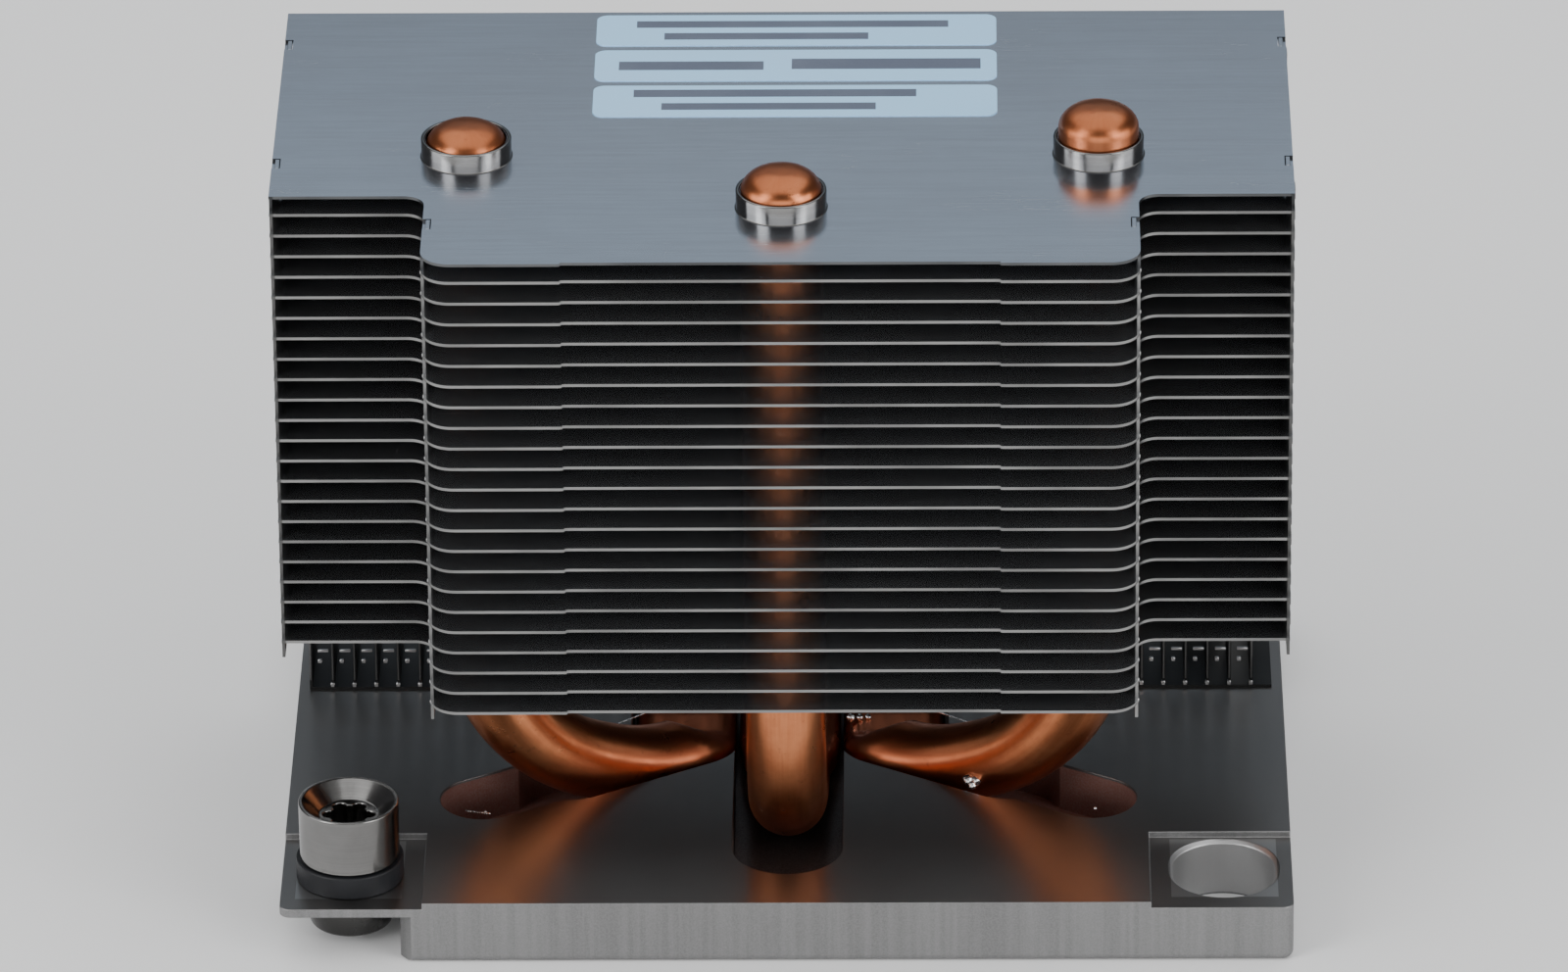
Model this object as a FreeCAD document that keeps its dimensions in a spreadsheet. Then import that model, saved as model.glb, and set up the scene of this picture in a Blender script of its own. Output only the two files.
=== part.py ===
"""Passive server CPU heatsink: base, three heat pipes, 23 stacked fins, a lower fin pack and captive nuts.

The origin is the centre of the base's underside, +Z is up through the stack, +X is the right-hand side and
-Y is the front, where the fin stack has its tongue.
"""
import FreeCAD, Part
import Sketcher
import math
import os

SIZES = (
    # name, millimetres or degrees, what it is
    ("base_width", 108.0, "base plate across, along X"),
    ("base_depth", 78.0, "base plate front to back, along Y"),
    ("base_thickness", 7.2, "base plate height"),
    ("base_corner", 1.2, "rounding of the plate's upright corners"),
    ("base_edge", 0.9, "rounding of the plate's lower rim"),
    ("slot_floor", 1.6, "metal left under the pipe grooves"),
    ("pocket_corner", 3.0, "rounding of the wide run pocket's back corners"),
    ("slot_gap", 0.38, "solder gap beside a flattened pipe"),
    ("groove_margin", 8.5, "back end of the grooves from the base's back rim"),
    ("pipe_diameter", 8.5, "heat pipe outside diameter"),
    ("pipe_flat", 4.0, "thickness of a pipe where it is flattened"),
    ("pipe_bend_side", 24.5, "centre-line radius of the side pipes' bends"),
    ("pipe_bend_centre", 21.0, "centre-line radius of the centre pipe's bend"),
    ("pipe_side_spacing", 33.25, "side pipes' upright runs from the middle plane"),
    ("pipe_side_place", 23.3, "side pipes' upright runs behind the base's front rim"),
    ("pipe_centre_place", 10.6, "centre pipe's upright run behind the base's front rim"),
    ("pipe_side_angle", 31.5, "plan angle of the side pipes' bends from X"),
    ("pipe_run_pitch", 11.4, "spacing of the flattened runs under the stack"),
    ("pipe_turn_end", 42.8, "where the side pipes run straight back, behind the front rim"),
    ("pipe_margin", 10.0, "sealed back end of the pipes from the base's back rim"),
    ("pipe_proud_left", 3.7, "left pipe's rounded end above the top fin"),
    ("pipe_proud_centre", 4.4, "centre pipe's rounded end above the top fin"),
    ("pipe_proud_right", 5.6, "right pipe's rounded end above the top fin"),
    ("pipe_end_round", 3.4, "rounding of the pipes' upper ends"),
    ("groove_lead", 1.75, "centre groove's round end, inward of the upright run"),
    ("side_groove_lead", 0.4, "side grooves' round ends, inward of the upright runs"),
    ("side_groove_gap", 0.45, "room beside a round pipe at a side groove's end"),
    ("side_groove_widening", 11.0, "where a side groove widens, inward of the upright run"),
    ("sheet", 0.32, "fin sheet thickness"),
    ("fin_count", 22, "fins below the top fin"),
    ("fin_pitch", 2.4, "spacing of the fins"),
    ("top_pitch", 2.03, "top fin above the fin below it"),
    ("stack_bottom", 31.5, "underside of the lowest fin"),
    ("stack_width", 107.3, "fins across, along X"),
    ("stack_front", 13.4, "front of the fins' wings behind the base's front rim"),
    ("stack_margin", 19.0, "back of the fins from the base's back rim"),
    ("tongue_width", 74.6, "middle tongue across"),
    ("tongue_reach", 2.9, "tongue in front of the base's front rim"),
    ("tongue_round", 3.0, "rounding of the tongue's front corners"),
    ("wing_round", 2.2, "inner rounding between wing and tongue"),
    ("front_step", 0.3, "shallow recess in the middle of the tongue's front edge"),
    ("front_step_width", 45.6, "width of that recess"),
    ("fold_inset", 0.8, "folded side walls stop short of the corners by this"),
    ("notch_length", 2.4, "lock notch along the fold"),
    ("notch_depth", 0.9, "lock notch into the top fin"),
    ("collar_wall", 0.35, "wall of the drawn collars"),
    ("collar_height", 2.0, "drawn collar above the top fin"),
    ("pierce_gap", 0.05, "pipe clearance in the fins"),
    ("opening_flat_count", 8, "flats of each pipe opening in the hidden fins"),
    ("rib_count", 44, "upright sheets in the lower pack"),
    ("rib_pitch", 2.4, "spacing of the upright sheets"),
    ("rib_depth", 10.3, "lower pack front to back, from the back of the fins"),
    ("fastener_side", 7.3, "corner fasteners and guide holes in from the sides"),
    ("fastener_inset", 7.9, "corner fasteners and guide holes in from the front and back rims"),
    ("pocket_depth", 0.7, "shallow corner pockets in the base's top"),
    ("pocket_width", 15.2, "corner pockets in from the sides"),
    ("pocket_length", 15.6, "corner pockets in from the front and back rims"),
    ("guide_width", 11.0, "oval guide hole across"),
    ("guide_length", 12.3, "oval guide hole front to back"),
    ("guide_shift", 0.9, "guide holes further in from the rim than the nuts"),
    ("guide_chamfer", 0.4, "lead-in of the guide holes"),
    ("tab_thickness", 1.0, "thinned corner that carries a captive nut"),
    ("tab_width", 12.8, "thinned corner in from the side"),
    ("tab_length", 16.4, "thinned corner in from the rim"),
    ("recess_bevel_width", 1.2, "bevel beside a nut's recess, along the rim"),
    ("recess_bevel_length", 1.7, "bevel beside a nut's recess, in from the rim"),
    ("nut_diameter", 10.7, "captive nut head"),
    ("nut_height", 6.4, "captive nut head's height"),
    ("nut_lip", 0.4, "flat lip round the nut's funnel"),
    ("funnel_depth", 1.7, "funnel that leads the driver in"),
    ("drive_diameter", 5.6, "six-lobe drive across its lobes"),
    ("drive_lobe", 1.5, "lobe of the six-lobe drive"),
    ("drive_depth", 3.4, "six-lobe drive below the funnel"),
    ("neck_diameter", 5.8, "captive nut neck"),
    ("stud_bore", 3.3, "tapping bore for an M4 stud"),
    ("stud_depth", 7.6, "depth of the bore from the neck's end"),
    ("turn_gap", 0.3, "running clearance round the neck"),
    ("end_gap", 0.15, "running clearance above and below the tab's stack"),
    ("sleeve_diameter", 11.5, "dark sleeve under the nut's head"),
    ("sleeve_height", 2.45, "dark sleeve's height"),
    ("cup_diameter", 10.4, "retaining cup below the tab"),
    ("cup_height", 4.2, "retaining cup's height"),
    ("cup_foot", 8.6, "flat underside of the retaining cup"),
    ("cup_rim", 0.6, "straight rim of the retaining cup"),
    ("label_thickness", 0.1, "paper label"),
    ("label_length", 42.9, "paper label across, along X"),
    ("label_depth", 7.6, "paper label front to back"),
    ("label_pitch", 8.9, "spacing of the three labels"),
    ("label_place", 13.7, "middle label's centre from the back of the fins"),
    ("label_shift", 1.2, "labels sit right of the middle plane by this"),
    ("label_corner", 1.2, "rounding of the labels' corners"),
)

doc = FreeCAD.newDocument("heatsink")
sheet = doc.addObject("Spreadsheet::Sheet", "Sizes")
for row, (alias, value, note) in enumerate(SIZES, start=1):
    sheet.set("A%d" % row, str(value))
    sheet.setAlias("A%d" % row, alias)
    sheet.set("B%d" % row, note)
doc.recompute()


def cell(text):
    """Put the sheet's name before every size named in an expression."""
    words = sorted((alias for alias, _, _ in SIZES), key=len, reverse=True)
    for word in words:
        text = text.replace(word, "<<%d>>" % words.index(word))
    for index, word in enumerate(words):
        text = text.replace("<<%d>>" % index, "Sizes." + word)
    return text


def number(text):
    """Value of an expression, as the sheet has it now."""
    return float(sheet.evalExpression(cell(text)))


def back(text):
    """Place along Y of something measured from the base's front rim."""
    return "(%s) - base_depth / 2" % text


# Heights and places that several pieces share; those along Y are measured from the base's front rim.
GROOVE_END = "base_depth - groove_margin"
RUN_END = "base_depth - pipe_margin"
STACK_BACK = "base_depth - stack_margin"
FIN_TOP = "stack_bottom + (fin_count - 1) * fin_pitch + top_pitch + sheet"
SLOT_WIDTH = "pipe_flat + pi / 2 * (pipe_diameter - pipe_flat) + 2 * slot_gap"
FLAT_WIDTH = "pipe_flat + pi / 2 * (pipe_diameter - pipe_flat)"
TAB_TOP = "base_thickness - pocket_depth"
TAB_BOTTOM = "base_thickness - pocket_depth - tab_thickness"
HEAD_BOTTOM = "base_thickness - pocket_depth + sleeve_height + end_gap"
NECK_BOTTOM = "base_thickness - pocket_depth - tab_thickness - end_gap - cup_height"
PIERCE_RADIUS = "pipe_diameter / 2 + pierce_gap"
PIPES = {
    "left": ("-pipe_side_spacing", back("pipe_side_place")),
    "centre": ("0", back("pipe_centre_place")),
    "right": ("pipe_side_spacing", back("pipe_side_place")),
}


def plane_of(body, role):
    """One of a body's own origin planes."""
    return next(item for item in body.Origin.OriginFeatures if item.Role == role)


def new_body(name):
    """An empty body whose label names the node."""
    body = doc.addObject("PartDesign::Body", name)
    body.Label = name
    return body


def new_sketch(body, name, role="XY_Plane", lift="0"):
    """A sketch on one of the body's planes, lifted off it by an expression."""
    sketch = body.newObject("Sketcher::SketchObject", name)
    sketch.AttachmentSupport = [(plane_of(body, role), "")]
    sketch.MapMode = "FlatFace"
    sketch.setExpression("AttachmentOffset.Base.z", cell(lift))
    return sketch


def hold(sketch, kind, places, text):
    """Add a dimension to a sketch and bind it to the sizes."""
    index = sketch.addConstraint(Sketcher.Constraint(kind, *places, number(text)))
    sketch.setExpression("Constraints[%d]" % index, cell(text))


def pin(sketch, element, end, across, along):
    """Hold one point of a sketch at a place given by two expressions."""
    hold(sketch, "DistanceX", (-1, 1, element, end), across)
    hold(sketch, "DistanceY", (-1, 1, element, end), along)


def draw_polygon(sketch, corners):
    """A closed outline of straight lines through corners given as expressions."""
    spots = [FreeCAD.Vector(number(across), number(along), 0) for across, along in corners]
    first = sketch.GeometryCount
    for index, spot in enumerate(spots):
        sketch.addGeometry(Part.LineSegment(spot, spots[(index + 1) % len(spots)]), False)
    for index, (across, along) in enumerate(corners):
        following = first + (index + 1) % len(corners)
        sketch.addConstraint(Sketcher.Constraint("Coincident", first + index, 2, following, 1))
        pin(sketch, first + index, 1, across, along)


def draw_box(sketch, left, front, right, rear):
    """A rectangle between two corners."""
    draw_polygon(sketch, ((left, front), (right, front), (right, rear), (left, rear)))


def draw_circle(sketch, across, along, radius):
    """A circle held at a place and to a radius."""
    centre = FreeCAD.Vector(number(across), number(along), 0)
    index = sketch.addGeometry(Part.Circle(centre, FreeCAD.Vector(0, 0, 1), number(radius)), False)
    hold(sketch, "Radius", (index,), radius)
    pin(sketch, index, 3, across, along)


def draw_obround(sketch, start, finish, radius):
    """Two half circles joined by straight sides."""
    head = FreeCAD.Vector(number(start[0]), number(start[1]), 0)
    tail = FreeCAD.Vector(number(finish[0]), number(finish[1]), 0)
    heading = math.atan2(tail.y - head.y, tail.x - head.x)
    reach = number(radius)
    side = FreeCAD.Vector(-math.sin(heading), math.cos(heading), 0) * reach
    upward = FreeCAD.Vector(0, 0, 1)
    quarter = math.pi / 2
    first = sketch.GeometryCount
    head_circle = Part.Circle(head, upward, reach)
    tail_circle = Part.Circle(tail, upward, reach)
    sketch.addGeometry(Part.ArcOfCircle(head_circle, heading + quarter, heading + 3 * quarter), False)
    sketch.addGeometry(Part.LineSegment(head - side, tail - side), False)
    sketch.addGeometry(Part.ArcOfCircle(tail_circle, heading - quarter, heading + quarter), False)
    sketch.addGeometry(Part.LineSegment(tail + side, head + side), False)
    for here, there in ((0, 1), (1, 2), (2, 3), (3, 0)):
        sketch.addConstraint(Sketcher.Constraint("Tangent", first + here, 2, first + there, 1))
    hold(sketch, "Radius", (first,), radius)
    pin(sketch, first, 3, *start)
    pin(sketch, first + 2, 3, *finish)


def pad(body, sketch, name, length, reverse=False):
    """Grow a sketch into solid metal."""
    feature = body.newObject("PartDesign::Pad", name)
    feature.Profile = sketch
    feature.Reversed = reverse
    feature.setExpression("Length", cell(length))
    return feature


def pocket(body, sketch, name, length, upward=False):
    """Cut a sketch's area away, downwards from its plane unless told upward."""
    doc.recompute()
    before = body.Shape.Volume
    feature = body.newObject("PartDesign::Pocket", name)
    feature.Profile = sketch
    feature.Reversed = upward
    feature.setExpression("Length", cell(length))
    doc.recompute()
    if not body.Shape.Volume < before:
        raise RuntimeError("%s cuts nothing" % name)
    return feature


def turn(body, sketch, name, cut=False):
    """Revolve a sketch about its own upright axis."""
    kind = "PartDesign::Groove" if cut else "PartDesign::Revolution"
    feature = body.newObject(kind, name)
    feature.Profile = sketch
    feature.ReferenceAxis = (sketch, ["V_Axis"])
    feature.Angle = 360.0
    return feature


def edges_where(shape, test):
    """Names of the edges that pass a test."""
    return ["Edge%d" % number for number, edge in enumerate(shape.Edges, start=1) if test(edge)]


def near(value, target):
    """Whether two lengths are the same, to a hundredth of a millimetre."""
    return abs(value - target) < 0.01


def upright_at(spots):
    """A test for upright straight edges that stand on given plan points."""
    places = [(number(across), number(along)) for across, along in spots]

    def test(edge):
        box = edge.BoundBox
        stands = box.XLength < 0.01 and box.YLength < 0.01
        return stands and any(near(box.XMin, x) and near(box.YMin, y) for x, y in places)
    return test


def dress(body, kind, name, test, size_name, text):
    """Round or chamfer the chosen edges of a body."""
    doc.recompute()
    base = body.Tip
    feature = body.newObject("PartDesign::" + kind, name)
    feature.Base = (base, edges_where(base.Shape, test))
    feature.setExpression(size_name, cell(text))
    doc.recompute()
    return feature


def make_base():
    """Machined base plate with pipe grooves, corner pockets, guide holes and thinned nut tabs."""
    body = new_body("base_plate")
    half_width = "base_width / 2"
    half_depth = "base_depth / 2"
    plan = new_sketch(body, "plate_plan")
    draw_box(plan, "-" + half_width, "-" + half_depth, half_width, half_depth)
    pad(body, plan, "plate", "base_thickness")
    corners = [(a + half_width, b + half_depth) for a in ("", "-") for b in ("", "-")]
    dress(body, "Fillet", "plate_corners", upright_at(corners), "Radius", "base_corner")

    def low_rim(edge):
        return near(edge.BoundBox.ZMax, 0.0)
    dress(body, "Fillet", "lower_rim", low_rim, "Radius", "base_edge")
    cut_grooves(body)
    for end in (-1, 1):
        cut_guide_corner(body, end)
        cut_nut_corner(body, end)
    return body


def cut_grooves(body):
    """Round-ended grooves for the pipes, which meet in one wide pocket over the processor."""
    depth = "base_thickness - slot_floor"
    half = "(%s) / 2" % SLOT_WIDTH
    groove = new_sketch(body, "centre_groove", lift="base_thickness")
    start = ("0", back("pipe_centre_place + groove_lead"))
    finish = ("0", back("%s - (%s)" % (GROOVE_END, half)))
    draw_obround(groove, start, finish, half)
    pocket(body, groove, "centre_groove_cut", depth)
    reach = "(pipe_side_spacing - pipe_run_pitch)"
    finish_y = back("pipe_side_place + %s * tan(pipe_side_angle * 1deg)" % reach)
    narrow = "(pipe_diameter / 2 + side_groove_gap)"
    lengths = (("end", "side_groove_lead", narrow), ("groove", "side_groove_widening", half))
    for side, sign in (("left", "-"), ("right", "")):
        for name, lead, width in lengths:
            groove = new_sketch(body, "%s_%s" % (side, name), lift="base_thickness")
            start_x = sign + "(pipe_side_spacing - %s * cos(pipe_side_angle * 1deg))" % lead
            start_y = back("pipe_side_place + %s * sin(pipe_side_angle * 1deg)" % lead)
            draw_obround(groove, (start_x, start_y), (sign + "pipe_run_pitch", finish_y), width)
            pocket(body, groove, "%s_%s_cut" % (side, name), depth)
    wide = new_sketch(body, "run_pocket", lift="base_thickness")
    edge = "(pipe_run_pitch + %s)" % half
    draw_box(wide, "-" + edge, back("pipe_turn_end - %s" % half), edge, back(GROOVE_END))
    pocket(body, wide, "run_pocket_cut", depth)
    corners = [(sign + edge, back(GROOVE_END)) for sign in ("", "-")]
    dress(body, "Fillet", "run_pocket_corners", upright_at(corners), "Radius", "pocket_corner")


def corner_box(sketch, across, end, width, length):
    """A rectangle in from one corner of the base."""
    outer_x = "%d * base_width / 2" % across
    inner_x = "%d * (base_width / 2 - %s)" % (across, width)
    outer_y = "%d * base_depth / 2" % end
    inner_y = "%d * (base_depth / 2 - %s)" % (end, length)
    draw_box(sketch, inner_x, inner_y, outer_x, outer_y)


def corner_place(across, end):
    """Plan place of the fastener or guide hole in one corner."""
    x = "%d * (base_width / 2 - fastener_side)" % across
    y = "%d * (base_depth / 2 - fastener_inset)" % end
    return x, y


def cut_guide_corner(body, end):
    """Shallow pocket with an oval guide hole: front right and back left."""
    name = "front" if end < 0 else "back"
    across = -end
    shallow = new_sketch(body, name + "_guide_pocket", lift="base_thickness")
    corner_box(shallow, across, end, "pocket_width", "pocket_length")
    pocket(body, shallow, name + "_guide_pocket_cut", "pocket_depth")
    hole = new_sketch(body, name + "_guide", lift=TAB_TOP)
    x, y = corner_place(across, end)
    y = "%s - %d * guide_shift" % (y, end)
    reach = "(guide_length - guide_width) / 2"
    draw_obround(hole, (x, "%s - %s" % (y, reach)), (x, "%s + %s" % (y, reach)), "guide_width / 2")
    pocket(body, hole, name + "_guide_cut", "base_thickness")
    centre_x = number(x)
    floor = number(TAB_TOP)
    limit = number("guide_length / 2") + 0.01
    centre_y = number(y)

    def rim(edge):
        box = edge.BoundBox
        level = near(box.ZMin, floor) and near(box.ZMax, floor)
        close_x = abs(edge.CenterOfMass.x - centre_x) < limit and box.XLength < 2 * limit
        close_y = abs(edge.CenterOfMass.y - centre_y) < limit
        inside = box.YMin > centre_y - limit and box.YMax < centre_y + limit
        narrow = box.XMin > centre_x - limit and box.XMax < centre_x + limit
        return level and close_x and close_y and inside and narrow
    dress(body, "Chamfer", name + "_guide_lead", rim, "Size", "guide_chamfer")


def cut_nut_corner(body, end):
    """Pocket above and deep recess below, which leave a thin pierced tab: front left and back right."""
    name = "front" if end < 0 else "back"
    across = end
    shallow = new_sketch(body, name + "_nut_pocket", lift="base_thickness")
    corner_box(shallow, across, end, "pocket_width", "pocket_length")
    pocket(body, shallow, name + "_nut_pocket_cut", "pocket_depth")
    recess = new_sketch(body, name + "_nut_recess")
    outer_x = "%d * base_width / 2" % across
    outer_y = "%d * base_depth / 2" % end
    inner_x = "%d * (base_width / 2 - tab_width)" % across
    inner_y = "%d * (base_depth / 2 - tab_length)" % end
    bevel_x = "%d * (base_width / 2 - tab_width - recess_bevel_width)" % across
    bevel_y = "%d * (base_depth / 2 - recess_bevel_length)" % end
    draw_polygon(recess, (
        (outer_x, outer_y), (bevel_x, outer_y), (inner_x, bevel_y), (inner_x, inner_y), (outer_x, inner_y)))
    pocket(body, recess, name + "_nut_recess_cut", TAB_BOTTOM, upward=True)
    hole = new_sketch(body, name + "_nut_hole", lift=TAB_TOP)
    draw_circle(hole, *corner_place(across, end), "neck_diameter / 2 + turn_gap")
    pocket(body, hole, name + "_nut_hole_cut", "tab_thickness * 2")


def make_pipe(side):
    """A sealed tube: round upright run and bend, then flattened as it enters the base's grooves."""
    body = new_body("heat_pipe_" + side)
    centred = side == "centre"
    heading = "90deg" if centred else "pipe_side_angle * 1deg"
    bend = "pipe_bend_centre" if centred else "pipe_bend_side"
    radius = "pipe_diameter / 2"
    axis = "(slot_floor + pipe_diameter / 2)"
    crown = "(%s + pipe_proud_%s)" % (FIN_TOP, side)
    upright = new_sketch(body, side + "_section", lift=crown)
    draw_circle(upright, "0", "0", radius)
    path = new_sketch(body, side + "_path", "XZ_Plane")
    draw_bend(path, crown, axis, bend)
    tube = body.newObject("PartDesign::AdditivePipe", side + "_tube")
    tube.Profile = upright
    tube.Spine = (path, ["Edge1", "Edge2"])
    doc.recompute()
    crown_height = number(crown)

    def end_rim(edge):
        return near(edge.BoundBox.ZMin, crown_height) and near(edge.BoundBox.ZMax, crown_height)
    dress(body, "Fillet", side + "_sealed_end", end_rim, "Radius", "pipe_end_round")
    # The flattening starts where the bend ends and is complete where the pipe runs straight back.
    round_end = new_sketch(body, side + "_round_end", "YZ_Plane", lift=bend)
    draw_circle(round_end, "0", axis, radius)
    travel = back("pipe_turn_end") + " - (%s)" % PIPES[side][1]
    if centred:
        turn_x = "(%s)" % travel
        turn_y = "0"
        yaw = "0deg"
    else:
        inward = "(pipe_side_spacing - pipe_run_pitch)"
        turn_x = "(%s * cos(%s) + (%s) * sin(%s))" % (inward, heading, travel, heading)
        turn_y = "((%s) * cos(%s) - %s * sin(%s))" % (travel, heading, inward, heading)
        yaw = "90deg - %s" % heading
    sign = -1 if side == "right" else 1
    flat_end = new_sketch(body, side + "_flat_end", "YZ_Plane")
    flat_end.setExpression("AttachmentOffset.Base.z", cell(turn_x))
    flat_end.setExpression("AttachmentOffset.Base.x", cell("%d * %s" % (sign, turn_y)))
    flat_end.AttachmentOffset = FreeCAD.Placement(
        flat_end.AttachmentOffset.Base, FreeCAD.Rotation(FreeCAD.Vector(0, 1, 0), 0.0))
    flat_end.setExpression("AttachmentOffset.Rotation.Axis.y", "1")
    flat_end.setExpression("AttachmentOffset.Rotation.Angle", cell("%d * (%s)" % (sign, yaw)))
    level = "slot_floor + pipe_flat / 2"
    reach = "(%s - pipe_flat) / 2" % FLAT_WIDTH
    draw_obround(flat_end, ("-" + reach, level), (reach, level), "pipe_flat / 2")
    blend = body.newObject("PartDesign::AdditiveLoft", side + "_flattening")
    blend.Profile = round_end
    blend.Sections = [flat_end]
    blend.Ruled = True
    doc.recompute()
    pad(body, flat_end, side + "_run", RUN_END + " - pipe_turn_end")
    turned = {"left": heading, "centre": heading, "right": "180deg - (%s)" % heading}[side]
    body.setExpression("Placement.Base.x", cell(PIPES[side][0]))
    body.setExpression("Placement.Base.y", cell(PIPES[side][1]))
    body.setExpression("Placement.Rotation.Angle", cell(turned))
    return body


def draw_bend(sketch, crown, axis, bend):
    """Upright line and quarter bend of a pipe's centre line."""
    top = number(crown)
    radius = number(bend)
    level = number(axis)
    centre = FreeCAD.Vector(radius, level + radius, 0)
    start = FreeCAD.Vector(0, top, 0)
    sketch.addGeometry(Part.LineSegment(start, FreeCAD.Vector(0, level + radius, 0)), False)
    curve = Part.Circle(centre, FreeCAD.Vector(0, 0, 1), radius)
    sketch.addGeometry(Part.ArcOfCircle(curve, math.pi, 1.5 * math.pi), False)
    sketch.addConstraint(Sketcher.Constraint("Tangent", 0, 2, 1, 1))
    pin(sketch, 0, 1, "0", crown)
    hold(sketch, "DistanceX", (-1, 1, 0, 2), "0")
    hold(sketch, "DistanceX", (-1, 1, 1, 2), bend)
    hold(sketch, "DistanceY", (-1, 1, 1, 2), axis)
    hold(sketch, "Radius", (1,), bend)


def draw_fin_plan(sketch):
    """Plan of a fin: wings at the sides and a tongue that reaches forward between the nuts."""
    wing = "stack_width / 2"
    tongue = "tongue_width / 2"
    step = "front_step_width / 2"
    front = back("-tongue_reach")
    recess = back("front_step - tongue_reach")
    shoulder = back("stack_front")
    rear = back(STACK_BACK)
    right = (
        (step, recess), (step, front), (tongue, front),
        (tongue, shoulder), (wing, shoulder), (wing, rear))
    left = [("-" + across, along) for across, along in reversed(right)]
    draw_polygon(sketch, list(right) + left)


def fold_walls(body, prefix, drop):
    """Side walls folded down along the wings and along the tongue."""
    folds = new_sketch(body, prefix + "_folds")
    for outer, front, rear in (
            ("stack_width / 2", back("stack_front + fold_inset"), back(STACK_BACK + " - fold_inset")),
            ("tongue_width / 2", back("tongue_round - tongue_reach"), back("stack_front - wing_round"))):
        inner = outer + " - sheet"
        draw_box(folds, inner, front, outer, rear)
        draw_box(folds, "-(" + outer + ")", front, "-(" + inner + ")", rear)
    pad(body, folds, prefix + "_walls", drop, reverse=True)


def make_fin_sheet(name, drop):
    """A flat fin with rounded tongue corners and folded side walls, its underside at the body's origin."""
    body = new_body(name)
    plan = new_sketch(body, name + "_plan")
    draw_fin_plan(plan)
    pad(body, plan, name + "_sheet", "sheet")
    front = back("-tongue_reach")
    tips = [(sign + "tongue_width / 2", front) for sign in ("", "-")]
    dress(body, "Fillet", name + "_tips", upright_at(tips), "Radius", "tongue_round")
    roots = [(sign + "tongue_width / 2", back("stack_front")) for sign in ("", "-")]
    dress(body, "Fillet", name + "_roots", upright_at(roots), "Radius", "wing_round")
    fold_walls(body, name, drop)
    return body


def make_fins():
    """The stacked fins: one pierced sheet, repeated up the stack by links with their own places."""
    first = make_fin_sheet("fin_01", "fin_pitch - sheet")
    flats = int(number("opening_flat_count"))
    for side, (across, along) in PIPES.items():
        # Hidden inside the stack, each opening is a ring of flats that just clears the round pipe.
        opening = first.newObject("PartDesign::SubtractivePrism", "fin_opening_" + side)
        opening.AttachmentSupport = [(plane_of(first, "XY_Plane"), "")]
        opening.MapMode = "FlatFace"
        opening.Polygon = flats
        opening.setExpression("Circumradius", cell("(%s) / cos(180deg / %d)" % (PIERCE_RADIUS, flats)))
        opening.setExpression("Height", cell("sheet"))
        opening.setExpression("AttachmentOffset.Base.x", cell(across))
        opening.setExpression("AttachmentOffset.Base.y", cell(along))
    first.setExpression("Placement.Base.z", cell("stack_bottom"))
    fins = [first]
    for index in range(1, int(number("fin_count"))):
        fin = doc.addObject("App::Link", "fin_%02d" % (index + 1))
        fin.Label = fin.Name
        fin.LinkedObject = first
        fin.LinkTransform = False
        fin.setExpression("Placement.Base.z", cell("stack_bottom + %d * fin_pitch" % index))
        fins.append(fin)
    return fins


def make_top_fin():
    """The uppermost fin, with lock notches at its folds and a drawn collar round each pipe end."""
    body = make_fin_sheet("top_fin", "top_pitch - sheet")
    notches = new_sketch(body, "top_notches", lift="sheet")
    from_corner = "fold_inset + 3 * notch_length"
    for place in ("stack_front + " + from_corner, "%s - (%s)" % (STACK_BACK, from_corner)):
        draw_notch(notches, "stack_width / 2", place)
    draw_notch(notches, "tongue_width / 2", "stack_front / 2")
    pocket(body, notches, "top_notch_cuts", "sheet")
    collars = new_sketch(body, "collar_plan", lift="sheet")
    for across, along in PIPES.values():
        draw_circle(collars, across, along, PIERCE_RADIUS + " + collar_wall")
    pad(body, collars, "collars", "collar_height")
    bores = new_sketch(body, "collar_bores", lift="sheet + collar_height")
    for across, along in PIPES.values():
        draw_circle(bores, across, along, PIERCE_RADIUS)
    pocket(body, bores, "collar_bore_cuts", "sheet + collar_height")
    body.setExpression("Placement.Base.z", cell("%s - sheet" % FIN_TOP))
    return body


def draw_notch(sketch, outer, place):
    """A pair of lock notches, one in each side."""
    front = back("%s - notch_length / 2" % place)
    rear = back("%s + notch_length / 2" % place)
    inner = outer + " - notch_depth"
    draw_box(sketch, inner, front, outer, rear)
    draw_box(sketch, "-(" + outer + ")", front, "-(" + inner + ")", rear)


def make_lower_pack():
    """Upright channel-section sheets locked side by side between the base and the lowest fin."""
    body = new_body("lower_fin_pack")
    left = "-(rib_count * rib_pitch / 2)"
    web = left + " + sheet"
    lip = left + " + rib_pitch"
    foot = "base_thickness"
    crown = "stack_bottom"
    lift = "rib_depth + stack_margin - base_depth / 2"
    section = new_sketch(body, "channel_section", "XZ_Plane", lift=lift)
    draw_polygon(section, (
        (left, foot), (lip, foot), (lip, foot + " + sheet"), (web, foot + " + sheet"),
        (web, crown + " - sheet"), (lip, crown + " - sheet"), (lip, crown), (left, crown)))
    channel = pad(body, section, "channel", "rib_depth", reverse=True)
    doc.recompute()
    row = body.newObject("PartDesign::LinearPattern", "channel_row")
    row.Originals = [channel]
    row.Direction = (section, ["H_Axis"])
    row.Mode = "Extent"
    row.setExpression("Length", cell("(rib_count - 1) * rib_pitch"))
    row.setExpression("Occurrences", cell("rib_count"))
    body.Tip = row
    return body


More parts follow.
